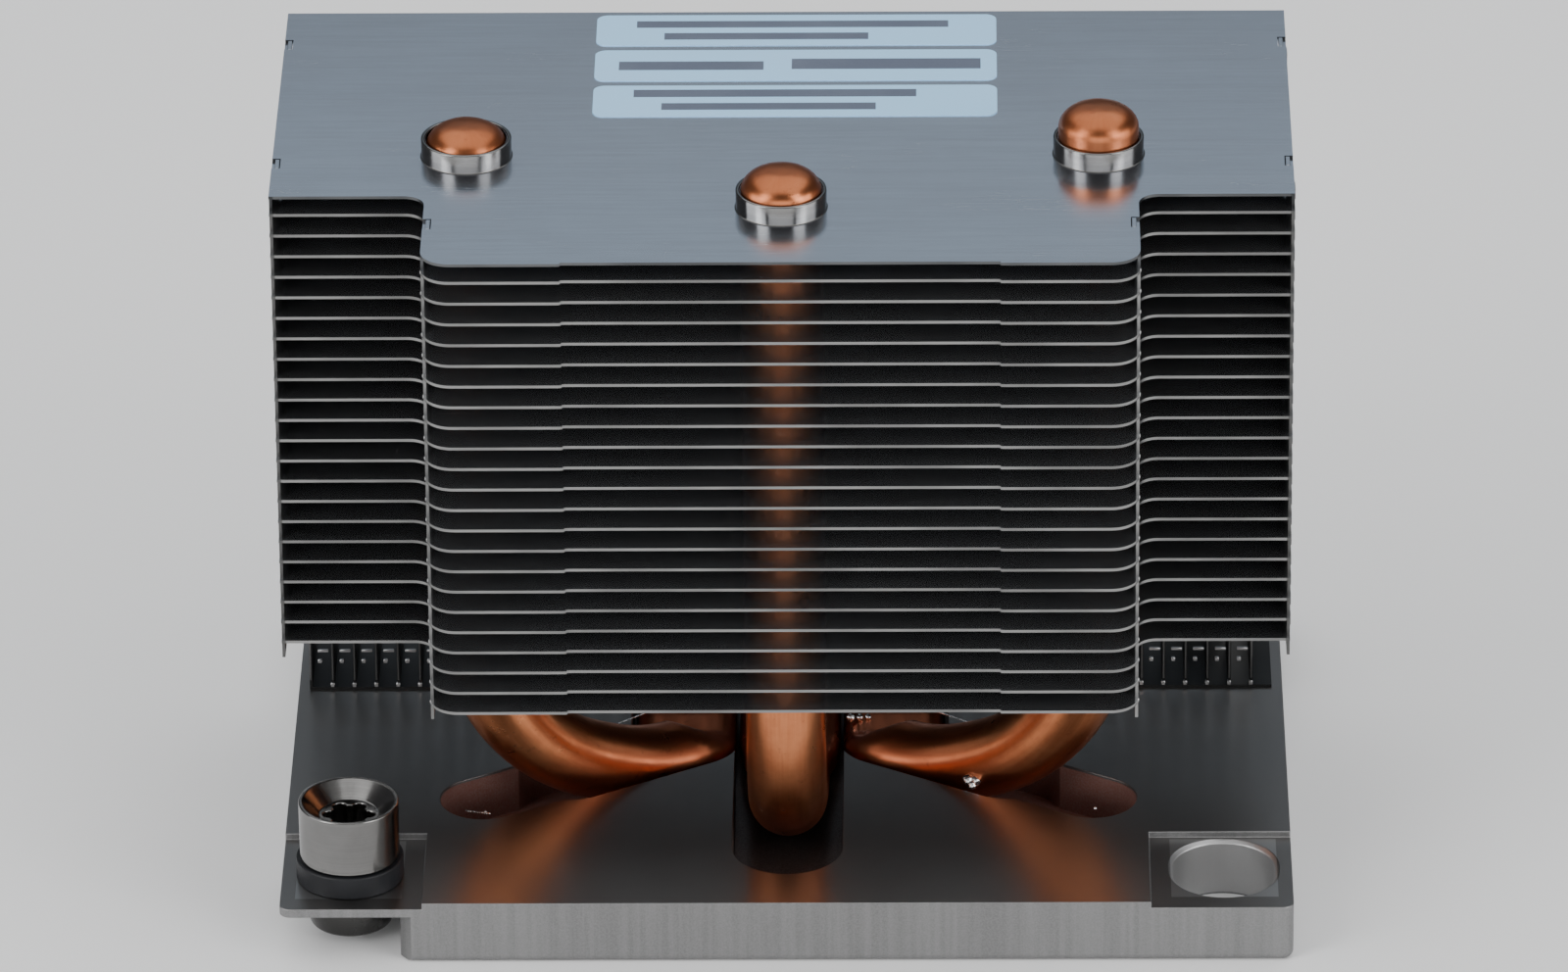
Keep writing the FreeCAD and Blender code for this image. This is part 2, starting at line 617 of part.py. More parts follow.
def make_nut(end):
    """Captive nut: funnel and six-lobe drive above, neck with a stud bore below."""
    name = "front" if end < 0 else "back"
    body = new_body("captive_nut_" + name)
    head = "nut_diameter / 2"
    neck = "neck_diameter / 2"
    bore = "stud_bore / 2"
    drive = "(drive_diameter - drive_lobe) / 2"
    top = "(%s + nut_height)" % HEAD_BOTTOM
    floor = top + " - funnel_depth - drive_depth"
    blank = new_sketch(body, name + "_nut_profile", "XZ_Plane")
    draw_polygon(blank, (
        ("0", NECK_BOTTOM), (neck, NECK_BOTTOM), (neck, HEAD_BOTTOM), (head, HEAD_BOTTOM),
        (head, top), (head + " - nut_lip", top), ("drive_diameter / 2 + nut_lip", top + " - funnel_depth"),
        (drive, top + " - funnel_depth"), (drive, floor), ("0", floor)))
    turn(body, blank, name + "_nut_turned")
    stud = new_sketch(body, name + "_stud_bore", lift=NECK_BOTTOM)
    draw_circle(stud, "0", "0", bore)
    doc.recompute()
    pocket(body, stud, name + "_stud_bore_cut", "stud_depth", upward=True)
    lobe = new_sketch(body, name + "_lobe", lift=top + " - funnel_depth")
    draw_circle(lobe, drive, "0", "drive_lobe / 2")
    notch = pocket(body, lobe, name + "_lobe_cut", "drive_depth")
    ring = body.newObject("PartDesign::PolarPattern", name + "_drive")
    ring.Originals = [notch]
    ring.Axis = (lobe, ["N_Axis"])
    ring.Angle = 360.0
    ring.Occurrences = 6
    body.Tip = ring
    set_corner(body, end)
    return body


def set_corner(body, end):
    """Stand a turned piece on its corner of the base."""
    x, y = corner_place(end, end)
    body.setExpression("Placement.Base.x", cell(x))
    body.setExpression("Placement.Base.y", cell(y))


def make_sleeve(end):
    """Dark sleeve that spaces the nut's head off the tab."""
    name = "front" if end < 0 else "back"
    body = new_body("nut_sleeve_" + name)
    ring = new_sketch(body, name + "_sleeve_plan", lift=TAB_TOP)
    draw_circle(ring, "0", "0", "sleeve_diameter / 2")
    draw_circle(ring, "0", "0", "neck_diameter / 2 + turn_gap")
    pad(body, ring, name + "_sleeve", "sleeve_height")
    set_corner(body, end)
    return body


def make_retainer(end):
    """Rounded cup fixed to the nut's neck under the tab."""
    name = "front" if end < 0 else "back"
    body = new_body("nut_retainer_" + name)
    inner = "neck_diameter / 2 + pierce_gap"
    rim = "cup_diameter / 2"
    foot = "cup_foot / 2"
    top = TAB_BOTTOM + " - end_gap"
    half = new_sketch(body, name + "_cup_profile", "XZ_Plane")
    shoulder = "(%s + %s) / 2 + (%s - %s) / 5" % (rim, foot, rim, foot)
    waist = "%s - cup_rim - (cup_height - cup_rim) / 2" % top
    draw_polygon(half, (
        (inner, NECK_BOTTOM), (foot, NECK_BOTTOM), (shoulder, waist), (rim, top + " - cup_rim"),
        (rim, top), (inner, top)))
    turn(body, half, name + "_cup")
    set_corner(body, end)
    return body


def make_label(index):
    """A blank paper strip with rounded corners on the top fin."""
    body = new_body("label_strip_%d" % (index + 1))
    plan = new_sketch(body, "label_plan_%d" % (index + 1), lift=FIN_TOP)
    left = "label_shift - label_length / 2"
    right = "label_shift + label_length / 2"
    middle = "%s - label_place + (%d - 1) * label_pitch" % (STACK_BACK, index)
    front = back("%s - label_depth / 2" % middle)
    rear = back("%s + label_depth / 2" % middle)
    draw_box(plan, left, front, right, rear)
    pad(body, plan, "label_paper_%d" % (index + 1), "label_thickness")
    corners = [(x, y) for x in (left, right) for y in (front, rear)]
    dress(body, "Fillet", "label_corners_%d" % (index + 1), upright_at(corners), "Radius", "label_corner")
    return body


def check_and_write(parts):
    """Stop on any failed object, then write each sub-part to its own file."""
    doc.recompute()
    for item in doc.Objects:
        if "Invalid" in item.State or "Error" in item.State:
            raise RuntimeError("%s failed: %s" % (item.Label, item.State))
    os.makedirs("parts", exist_ok=True)
    for part in parts:
        shape = Part.getShape(part)
        if shape.isNull() or not shape.isValid():
            raise RuntimeError("%s has no valid shape" % part.Label)
        shape.exportStep("parts/%s.step" % part.Label)
        print("%-20s %10.1f mm3" % (part.Label, shape.Volume))


parts = [make_base()]
parts += [make_pipe(side) for side in PIPES]
parts += make_fins()
parts.append(make_top_fin())
parts.append(make_lower_pack())
for end in (-1, 1):
    parts += [make_nut(end), make_sleeve(end), make_retainer(end)]
parts += [make_label(index) for index in range(3)]
check_and_write(parts)
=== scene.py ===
"""Looks of a passive server processor heatsink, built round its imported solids.

Each sub-assembly is a class with its own sizes, meshes and finishes. Lengths are metres in the part's own
frame: +Z up through the fin stack, +X to the right, -Y to the front.
"""
import logging
import math
from dataclasses import dataclass, field
from enum import Enum
from typing import ClassVar, Iterable, Sequence

import bmesh
import bpy
from mathutils import Matrix, Vector, noise


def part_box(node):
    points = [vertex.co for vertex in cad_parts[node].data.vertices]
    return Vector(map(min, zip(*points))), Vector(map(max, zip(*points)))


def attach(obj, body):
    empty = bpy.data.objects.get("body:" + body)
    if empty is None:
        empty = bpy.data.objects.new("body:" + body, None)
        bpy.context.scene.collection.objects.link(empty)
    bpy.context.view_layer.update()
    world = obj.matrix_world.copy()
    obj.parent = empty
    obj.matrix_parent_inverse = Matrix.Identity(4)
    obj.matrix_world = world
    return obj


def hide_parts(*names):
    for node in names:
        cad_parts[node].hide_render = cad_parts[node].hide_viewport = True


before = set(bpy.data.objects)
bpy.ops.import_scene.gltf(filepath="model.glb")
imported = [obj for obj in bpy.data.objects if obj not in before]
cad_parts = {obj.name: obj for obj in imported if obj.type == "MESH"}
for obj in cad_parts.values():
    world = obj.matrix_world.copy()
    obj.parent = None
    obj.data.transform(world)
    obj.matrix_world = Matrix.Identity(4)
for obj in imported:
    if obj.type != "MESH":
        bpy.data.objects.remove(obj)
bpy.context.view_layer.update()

MM = 0.001
LOG = logging.getLogger("heatsink")
WRAP = "wrap"  # the tubes' UV map

Colour = tuple[float, float, float, float]
Socket = bpy.types.NodeSocket
Material = bpy.types.Material
BMesh = bmesh.types.BMesh


class Side(Enum):
    """Which of the three heat pipes."""

    LEFT = "left"
    CENTRE = "centre"
    RIGHT = "right"


class Corner(Enum):
    """Which of the two diagonal nut corners."""

    FRONT = "front"
    BACK = "back"


class Lay(Enum):
    """Direction of a finish's fine lines, as a stretch of the pattern's space."""

    ALONG_X = (0.03, 1.0, 1.0)
    ALONG_Z = (1.0, 1.0, 0.03)


# ---- Wiring of materials ----


class Wiring:
    """Adds and joins the nodes of one material or node group."""

    def __init__(self, tree: bpy.types.NodeTree) -> None:
        """Work on one node tree."""
        self.tree = tree

    def node(self, kind: str, sockets: dict | None = None, **settings: object) -> bpy.types.Node:
        """Add one node.

        Args:
            kind: Blender's type name of the node.
            sockets: Values or source sockets for its inputs, by name or index.
            settings: Attributes of the node.

        Returns:
            The new node.
        """
        made = self.tree.nodes.new(kind)
        for name, value in settings.items():
            setattr(made, name, value)
        for key, value in (sockets or {}).items():
            if isinstance(value, Socket):
                self.join(value, made.inputs[key])
            else:
                made.inputs[key].default_value = value
        return made

    def reckon(self, operation: str, first: object, second: object = 0.5) -> Socket:
        """Combine two numbers or sockets by the named operation."""
        return self.node("ShaderNodeMath", {0: first, 1: second}, operation=operation).outputs[0]

    def times(self, first: object, second: object) -> Socket:
        """Multiply two numbers or sockets."""
        return self.reckon("MULTIPLY", first, second)

    def plus(self, first: object, second: object) -> Socket:
        """Add two numbers or sockets."""
        return self.reckon("ADD", first, second)

    def minus(self, first: object, second: object) -> Socket:
        """Take the second number or socket from the first."""
        return self.reckon("SUBTRACT", first, second)

    def parts(self, vector: Socket) -> list[Socket]:
        """The sockets of a vector's X, Y and Z."""
        return list(self.node("ShaderNodeSeparateXYZ", {0: vector}).outputs)

    def join(self, source: Socket, target: Socket) -> None:
        """Link an output to an input."""
        self.tree.links.new(source, target)

    def speckle(self, place: object, scale: object, detail: float = 3.0, rough: float = 0.55) -> Socket:
        """Soft noise from 0 to 1 at a place, its scale in waves per metre as a number or a socket."""
        inputs = {"Vector": place, "Scale": scale, "Detail": detail, "Roughness": rough}
        return self.node("ShaderNodeTexNoise", inputs).outputs["Fac"]

    def spread(self, source: object, low: float, high: float, new_low: float, new_high: float) -> Socket:
        """Stretch the range from low to high onto another, held within the new range."""
        inputs = {0: source, 1: low, 2: high, 3: new_low, 4: new_high}
        return self.node("ShaderNodeMapRange", inputs, clamp=True).outputs[0]

    def blend(self, share: object, first: object, second: object) -> Socket:
        """Blend two colours or sockets by the share of the second."""
        return self.node("ShaderNodeMix", {0: share, 6: first, 7: second}, data_type="RGBA").outputs[2]


def colour(red: float, green: float, blue: float) -> Colour:
    """A colour with full cover."""
    return (red, green, blue, 1.0)


def grey(tone: float) -> Colour:
    """A neutral grey."""
    return colour(tone, tone, tone)


def scaled(tone: Colour, share: float) -> Colour:
    """A colour made darker or paler, held at 1."""
    return colour(*(min(1.0, share * part) for part in tone[:3]))


class Groups:
    """The shared effects, each built once as a node group."""

    def __init__(self) -> None:
        """Build every group."""
        self.lines = self._build_lines()
        self.marks = self._build_marks()
        self.rings = self._build_rings()

    @staticmethod
    def _open(
        name: str, scale: float, outputs: Sequence[str], **vectors: tuple[float, float, float]
    ) -> tuple[Wiring, bpy.types.Node, bpy.types.Node]:
        """Start a group, whose inputs are the place, any further vectors and the scale.

        Args:
            name: Name of the group.
            scale: The scale's default.
            outputs: Names of the float outputs.
            vectors: Defaults of the further vectors, by name.

        Returns:
            Its wiring, input node and output node.
        """
        tree = bpy.data.node_groups.new(name, "ShaderNodeTree")
        add = tree.interface.new_socket
        add("Vector", in_out="INPUT", socket_type="NodeSocketVector")
        for label, default in vectors.items():
            add(label, in_out="INPUT", socket_type="NodeSocketVector").default_value = default
        add("Scale", in_out="INPUT", socket_type="NodeSocketFloat").default_value = scale
        for label in outputs:
            add(label, in_out="OUTPUT", socket_type="NodeSocketFloat")
        wiring = Wiring(tree)
        return wiring, wiring.node("NodeGroupInput"), wiring.node("NodeGroupOutput")

    def _build_lines(self) -> bpy.types.NodeTree:
        """Fine parallel lines, as drawn, rolled or milled metal has.

        Returns:
            The group, with a Lines output from 0 to 1.
        """
        wiring, given, out = self._open("Fine Lines", 2000.0, ("Lines",), Stretch=(1.0, 1.0, 1.0))
        stretched = wiring.node(
            "ShaderNodeVectorMath", {0: given.outputs["Vector"], 1: given.outputs["Stretch"]},
            operation="MULTIPLY").outputs[0]
        scale = given.outputs["Scale"]
        fine = wiring.speckle(stretched, scale, 2.0)
        broad = wiring.speckle(stretched, wiring.times(scale, 0.23), 2.0)
        wiring.join(wiring.plus(wiring.times(fine, 0.6), wiring.times(broad, 0.4)), out.inputs["Lines"])
        return wiring.tree

    def _build_marks(self) -> bpy.types.NodeTree:
        """Cloudy smudges and thin scratches from handling.

        Returns:
            The group, with Smudge and Scratch outputs from 0 to 1.
        """
        wiring, given, out = self._open("Handling Marks", 60.0, ("Smudge", "Scratch"))
        place = given.outputs["Vector"]
        cloud = wiring.speckle(place, given.outputs["Scale"], 5.0, 0.62)
        wiring.join(wiring.spread(cloud, 0.38, 0.72, 0.0, 1.0), out.inputs["Smudge"])
        skew = {"Vector": place, "Rotation": (0.3, 0.2, 0.7), "Scale": (22.0, 260.0, 140.0)}
        bent = wiring.node("ShaderNodeMapping", skew)
        thin = wiring.speckle(bent.outputs[0], 2.2, 3.0)
        line = wiring.reckon("ABSOLUTE", wiring.minus(thin, 0.5))
        sharp = wiring.spread(line, 0.0, 0.006, 1.0, 0.0)
        patch = wiring.spread(wiring.speckle(place, 95.0, 2.0), 0.52, 0.66, 0.0, 1.0)
        wiring.join(wiring.times(sharp, patch), out.inputs["Scratch"])
        return wiring.tree

    def _build_rings(self) -> bpy.types.NodeTree:
        """Lines left by a lathe, round an upright axis.

        Returns:
            The group, with a Lines output from 0 to 1.
        """
        wiring, given, out = self._open("Turned Lines", 5000.0, ("Lines",), Axis=(0.0, 0.0, 0.0))
        centred = wiring.node(
            "ShaderNodeVectorMath", {0: given.outputs["Vector"], 1: given.outputs["Axis"]},
            operation="SUBTRACT")
        across, along, height = wiring.parts(centred.outputs[0])
        flat = wiring.node("ShaderNodeCombineXYZ", {0: across, 1: along})
        reach = wiring.node("ShaderNodeVectorMath", {0: flat.outputs[0]}, operation="LENGTH")
        place = wiring.node("ShaderNodeCombineXYZ", {0: reach.outputs["Value"], 1: height})
        wiring.join(wiring.speckle(place.outputs[0], given.outputs["Scale"], 3.0), out.inputs["Lines"])
        return wiring.tree


class Bench(Wiring):
    """One material on the bench, with the inputs that every finish uses."""

    def __init__(self, name: str, groups: Groups, wrap: str | None = None) -> None:
        """Start a material.

        Args:
            name: Name of the material.
            groups: The shared effects.
            wrap: UV map that the fine lines follow, or None for the part's own space.
        """
        self.material = bpy.data.materials.new(name)
        self.material.use_nodes = True
        super().__init__(self.material.node_tree)
        self.groups = groups
        self.shader = self.tree.nodes["Principled BSDF"]
        self.place = self.node("ShaderNodeTexCoord").outputs["Object"]
        self.course = self.node("ShaderNodeUVMap", uv_map=wrap).outputs[0] if wrap else self.place

    def _effect(self, tree: bpy.types.NodeTree, **values: object) -> bpy.types.NodeOutputs:
        """Place a shared effect with values for its inputs, and give its outputs."""
        return self.node("ShaderNodeGroup", {"Vector": self.course, **values}, node_tree=tree).outputs

    def lines(self, stretch: tuple[float, float, float], scale: float) -> Socket:
        """Fine parallel lines in a stretched space, so many to the metre."""
        return self._effect(self.groups.lines, Stretch=stretch, Scale=scale)["Lines"]

    def rings(self, axis: tuple[float, float, float], scale: float) -> Socket:
        """Turned lines round an upright axis, so many to the metre."""
        return self._effect(self.groups.rings, Axis=axis, Scale=scale)["Lines"]

    def marks(self, scale: float) -> tuple[Socket, Socket]:
        """The sockets of the smudges and scratches, so many smudges to the metre."""
        made = self._effect(self.groups.marks, Scale=scale)
        return made["Smudge"], made["Scratch"]

    def bump(self, height: object, strength: float, distance: float) -> None:
        """Feed a relief to the shader's normal, its distance in metres."""
        inputs = {"Height": height, "Strength": strength, "Distance": distance}
        self.join(self.node("ShaderNodeBump", inputs).outputs[0], self.shader.inputs["Normal"])

    def feed(self, name: str, value: object) -> None:
        """Set or link one input of the shader.

        Args:
            name: Name of the input.
            value: Number, colour or socket.
        """
        if isinstance(value, Socket):
            self.join(value, self.shader.inputs[name])
        else:
            self.shader.inputs[name].default_value = value

    def gloss(
        self, marks: tuple[Socket, Socket], smooth: float, smudged: float, scratched: float, mask: Socket,
        elsewhere: float
    ) -> None:
        """Set the roughness: a handled, smooth part within a mask and one value elsewhere.

        Args:
            marks: The smudges and scratches.
            smooth: Roughness of the clean smooth part.
            smudged: What a full smudge adds.
            scratched: What a full scratch adds.
            mask: Where the smooth part is.
            elsewhere: Roughness outside the mask.
        """
        rough = self.spread(marks[0], 0.0, 1.0, smooth, smooth + smudged)
        gap = self.minus(self.plus(rough, self.times(marks[1], scratched)), elsewhere)
        self.feed("Roughness", self.plus(self.times(gap, mask), elsewhere))

    def facing(self, axis: int, low: float, high: float) -> Socket:
        """How squarely the surface faces along an axis, either way.

        Args:
            axis: 0, 1 or 2.
            low: Share below which the mask is 0.
            high: Share above which the mask is 1.

        Returns:
            The mask's socket.
        """
        normal = self.node("ShaderNodeNewGeometry").outputs["Normal"]
        return self.spread(self.reckon("ABSOLUTE", self.parts(normal)[axis]), low, high, 0.0, 1.0)


# ---- Finishes ----


@dataclass(frozen=True)
class Finish:
    """A finish: its material's name, and how the material is wired."""

    name: str
    wrap: ClassVar[str | None] = None

    def make(self, groups: Groups) -> Material:
        """Build the material.

        Args:
            groups: The shared effects.

        Returns:
            The material.
        """
        bench = Bench(self.name, groups, self.wrap)
        self.wire(bench)
        return bench.material

    def wire(self, bench: Bench) -> None:
        """Wire the material's colour, gloss and relief."""
        raise NotImplementedError(self.name)


@dataclass(frozen=True)
class RolledSheet(Finish):
    """Bright rolled fin sheet: mirror-like faces and paler sheared edges."""

    face: Colour
    edge: Colour
    face_rough: float
    edge_rough: float
    lay: Lay = Lay.ALONG_X
    metallic: float = 1.0
    wall: float = 53.2 * MM
    pitch: float = 2.4 * MM
    seam_start: float = 31.5 * MM
    seam: float = 0.0
    smudge: Colour = (0.30, 0.31, 0.33, 1.0)

    def wire(self, bench: Bench) -> None:
        """Wire the material's colour, gloss and relief.

        Args:
            bench: The material's bench.
        """
        across, _, height = bench.parts(bench.place)
        is_wall = bench.facing(0, 0.6, 0.95)
        outer = bench.reckon("GREATER_THAN", bench.reckon("ABSOLUTE", across), self.wall)
        outer = bench.times(outer, bench.minus(1.0, is_wall))
        rise = bench.reckon("DIVIDE", bench.minus(height, self.seam_start), self.pitch)
        rise = bench.reckon("FRACT", rise)
        seam = bench.times(bench.reckon("LESS_THAN", rise, self.seam), is_wall)
        dark = scaled(self.edge, 0.4)
        sheared = bench.speckle(bench.place, 90.0, 2.0, 0.5)
        edge = bench.blend(bench.spread(sheared, 0.36, 0.58, 0.55, 0.0), self.edge, dark)
        edge = bench.blend(bench.reckon("MAXIMUM", outer, seam), edge, dark)
        lines = bench.lines(self.lay.value, 2600.0)
        marks = bench.marks(48.0)
        is_face = bench.facing(2, 0.6, 0.95)
        tinted = bench.blend(bench.spread(lines, 0.35, 0.65, 0.0, 0.10), self.face, self.edge)
        smudged = bench.blend(bench.times(marks[0], 0.10), tinted, self.smudge)
        bench.feed("Base Color", bench.blend(is_face, edge, smudged))
        bench.gloss(marks, self.face_rough, 0.07, 0.12, is_face, self.edge_rough)
        bench.feed("Metallic", self.metallic)
        bench.bump(lines, 0.05, 0.01 * MM)


@dataclass(frozen=True)
class MilledPlate(Finish):
    """Base plate: fly-cut and polished top and bottom, sawn and blasted sides."""

    polished: Colour
    side: Colour
    polished_rough: float
    side_rough: float
    # Groove tints: a flux-stain brown that also stands in for the copper's reflection on the groove floors,
    # and a painted shade for the shaded centre groove.
    flux_and_painted_light: Colour = (0.19, 0.068, 0.048, 1.0)
    centre_groove_shade: Colour = (0.05, 0.03, 0.025, 1.0)
    reamed: Colour = (0.50, 0.50, 0.50, 1.0)
    # Reach across, along and up of the soldered grooves and of the guide holes, in millimetres.
    grooves: tuple[tuple[float, float], ...] = ((-1.0, 38.3), (-1.0, 36.0), (1.0, 6.9))
    bores: tuple[tuple[float, float], ...] = ((41.0, 52.4), (23.8, 36.6), (0.2, 6.9))

    def wire(self, bench: Bench) -> None:
        """Wire the material's colour, gloss and relief.

        Args:
            bench: The material's bench.
        """
        across = bench.lines(Lay.ALONG_X.value, 9000.0)
        sawn = bench.lines(Lay.ALONG_Z.value, 1500.0)
        marks = bench.marks(42.0)
        is_flat = bench.facing(2, 0.7, 0.98)
        grit = bench.speckle(bench.place, 5200.0, 4.0, 0.7)
        dull = bench.blend(bench.spread(grit, 0.35, 0.65, 0.0, 1.0), self.side, grey(0.20))
        dull = bench.blend(bench.spread(sawn, 0.4, 0.62, 0.0, 0.35), dull, grey(0.34))
        wear_and_shade = bench.blend(bench.times(marks[0], 0.2), self.polished, grey(0.17))
        reach = [bench.reckon("ABSOLUTE", part) for part in bench.parts(bench.place)]
        cut = self._within(bench, reach, *self.grooves)
        bore = self._within(bench, reach, *self.bores)
        plain = bench.blend(bench.times(bore, 0.8), bench.blend(is_flat, dull, wear_and_shade), self.reamed)
        # In the grooves: painted shade near the centre, flux stain with painted copper reflection further
        # out.
        flux_and_painted_light = bench.blend(bench.spread(reach[0], 13.0 * MM, 19.0 * MM, 0.0, 1.0), self.centre_groove_shade, self.flux_and_painted_light)
        cover = bench.times(cut, bench.spread(grit, 0.3, 0.7, 0.6, 1.0))
        bench.feed("Base Color", bench.blend(cover, plain, flux_and_painted_light))
        bench.gloss(marks, self.polished_rough, 0.06, 0.08, is_flat, self.side_rough)
        bench.feed("Metallic", bench.minus(1.0, bench.times(cut, 0.75)))
        relief = bench.plus(bench.times(across, is_flat), bench.times(grit, 0.5))
        bench.bump(relief, 0.28, 0.012 * MM)

    @staticmethod
    def _within(bench: Bench, reach: Sequence[Socket], *spans: tuple[float, float]) -> Socket:
        """Mask of a box-shaped region.

        Args:
            bench: The material's bench.
            reach: Sockets of the coordinates.
            spans: Lowest and highest value of each coordinate, in millimetres.

        Returns:
            The mask's socket.
        """
        mask: object = 1.0
        for socket, (low, high) in zip(reach, spans):
            above = bench.reckon("GREATER_THAN", socket, low * MM)
            below = bench.reckon("LESS_THAN", socket, high * MM)
            mask = bench.times(bench.times(above, below), mask)
        return mask


@dataclass(frozen=True)
class BareTube(Finish):
    """Bare copper tube with fine drawing lines along it, a little tarnish and rub marks."""

    bright: Colour
    tarnish: Colour
    rough: float
    wrap: ClassVar[str | None] = WRAP
    # Darker, redder tone towards the tube's bottom.
    low_tone: Colour = (0.54, 0.155, 0.072, 1.0)
    worked: Colour = (0.34, 0.105, 0.044, 1.0)

    def wire(self, bench: Bench) -> None:
        """Wire the material's colour, gloss and relief.

        Args:
            bench: The material's bench.
        """
        lines = bench.lines((1.0, 0.05, 1.0), 2300.0)
        cloud = bench.speckle(bench.place, 190.0, 5.0, 0.6)
        spots = bench.speckle(bench.place, 900.0, 3.0, 0.6)
        aged = bench.blend(bench.spread(cloud, 0.36, 0.70, 0.0, 0.85), self.bright, self.tarnish)
        streaked = bench.blend(bench.spread(lines, 0.40, 0.66, 0.0, 0.35), aged, colour(0.76, 0.32, 0.15))
        height = bench.parts(bench.place)[2]
        # Darker and redder towards the bottom, below 13 mm.
        darker_below = bench.blend(bench.spread(height, 13.0 * MM, 8.0 * MM, 0.0, 0.8), streaked, self.low_tone)
        drawn = bench.blend(bench.spread(height, 82.0 * MM, 84.5 * MM, 0.0, 0.7), darker_below, self.worked)
        dotted = bench.blend(bench.spread(spots, 0.62, 0.74, 0.0, 0.35), drawn, colour(0.20, 0.05, 0.025))
        bench.feed("Base Color", dotted)
        bench.feed("Roughness", bench.spread(cloud, 0.3, 0.7, self.rough, self.rough + 0.12))
        bench.feed("Metallic", 1.0)
        dents = bench.speckle(bench.place, 420.0, 2.0)
        relief = bench.plus(bench.times(lines, 0.25), dents)
        bench.bump(relief, 0.35, 0.06 * MM)


@dataclass(frozen=True)
class Plated(Finish):
    """Turned or drawn piece with bright nickel plating."""

    tone: Colour
    rough: float
    axis: tuple[float, float, float]
    line_depth: float = 0.12

    def wire(self, bench: Bench) -> None:
        """Wire the material's colour, gloss and relief.

        Args:
            bench: The material's bench.
        """
        lines = bench.rings(self.axis, 5200.0)
        smudge, _ = bench.marks(150.0)
        dim, pale = scaled(self.tone, 0.62), scaled(self.tone, 1.35)
        shade = bench.blend(bench.times(smudge, 0.5), self.tone, dim)
        bench.feed("Base Color", bench.blend(bench.spread(lines, 0.45, 0.7, 0.0, 0.3), shade, pale))
        bench.feed("Roughness", bench.spread(smudge, 0.0, 1.0, self.rough, self.rough + 0.10))
        bench.feed("Metallic", 1.0)
        bench.bump(lines, self.line_depth, 0.02 * MM)


@dataclass(frozen=True)
class MouldedPlastic(Finish):
    """Fine-grained moulded plastic."""

    tone: Colour
    rough: float

    def wire(self, bench: Bench) -> None:
        """Wire the material's colour, gloss and relief.

        Args:
            bench: The material's bench.
        """
        grain = bench.speckle(bench.place, 4200.0, 3.0)
        cloud = bench.speckle(bench.place, 260.0, 4.0)
        lighter = scaled(self.tone, 2.2)
        bench.feed("Base Color", bench.blend(bench.spread(cloud, 0.3, 0.7, 0.0, 0.6), self.tone, lighter))
        bench.feed("Roughness", bench.spread(grain, 0.3, 0.7, self.rough - 0.06, self.rough + 0.06))
        bench.feed("Specular IOR Level", 0.28)
        bench.bump(grain, 0.25, 0.015 * MM)


@dataclass(frozen=True)
class CoatedPaper(Finish):
    """Smooth label film with faint fibres and a slightly uneven tone."""

    tone: Colour
    dirt: Colour
    rough: float

    def wire(self, bench: Bench) -> None:
        """Wire the material's colour, gloss and relief.

        Args:
            bench: The material's bench.
        """
        fibres = bench.speckle(bench.place, 2600.0, 4.0, 0.65)
        cloud = bench.speckle(bench.place, 110.0, 4.0)
        toned = bench.blend(bench.spread(cloud, 0.42, 0.70, 0.0, 0.30), self.tone, self.dirt)
        bench.feed("Base Color", bench.blend(bench.spread(fibres, 0.5, 0.75, 0.0, 0.12), toned, self.dirt))
        bench.feed("Roughness", bench.spread(fibres, 0.3, 0.7, self.rough - 0.05, self.rough + 0.08))
        bench.bump(fibres, 0.08, 0.01 * MM)


@dataclass(frozen=True)
class SoftSolder(Finish):
    """Solder that has run out and set: bright, slightly frosted."""

    tone: Colour

    def wire(self, bench: Bench) -> None:
        """Wire the material's colour, gloss and relief.

        Args:
            bench: The material's bench.
        """
        frost = bench.speckle(bench.place, 2400.0, 4.0, 0.6)
        toned = bench.blend(bench.spread(frost, 0.4, 0.7, 0.0, 0.5), self.tone, colour(0.45, 0.45, 0.46))
        bench.feed("Base Color", toned)
        bench.feed("Roughness", bench.spread(frost, 0.3, 0.7, 0.12, 0.34))
        bench.feed("Metallic", 1.0)
        bench.bump(frost, 0.4, 0.03 * MM)


@dataclass(frozen=True)
class StudioFloor(Finish):
    """Plain pale floor with a barely uneven tone."""

    tone: Colour

    def wire(self, bench: Bench) -> None:
        """Wire the material's colour, gloss and relief.

        Args:
            bench: The material's bench.
        """
        cloud = bench.speckle(bench.place, 3.0, 2.0)
        toned = bench.blend(bench.spread(cloud, 0.3, 0.7, 0.0, 0.15), self.tone, colour(0.86, 0.87, 0.88))
        bench.feed("Base Color", toned)
        bench.feed("Roughness", 0.8)


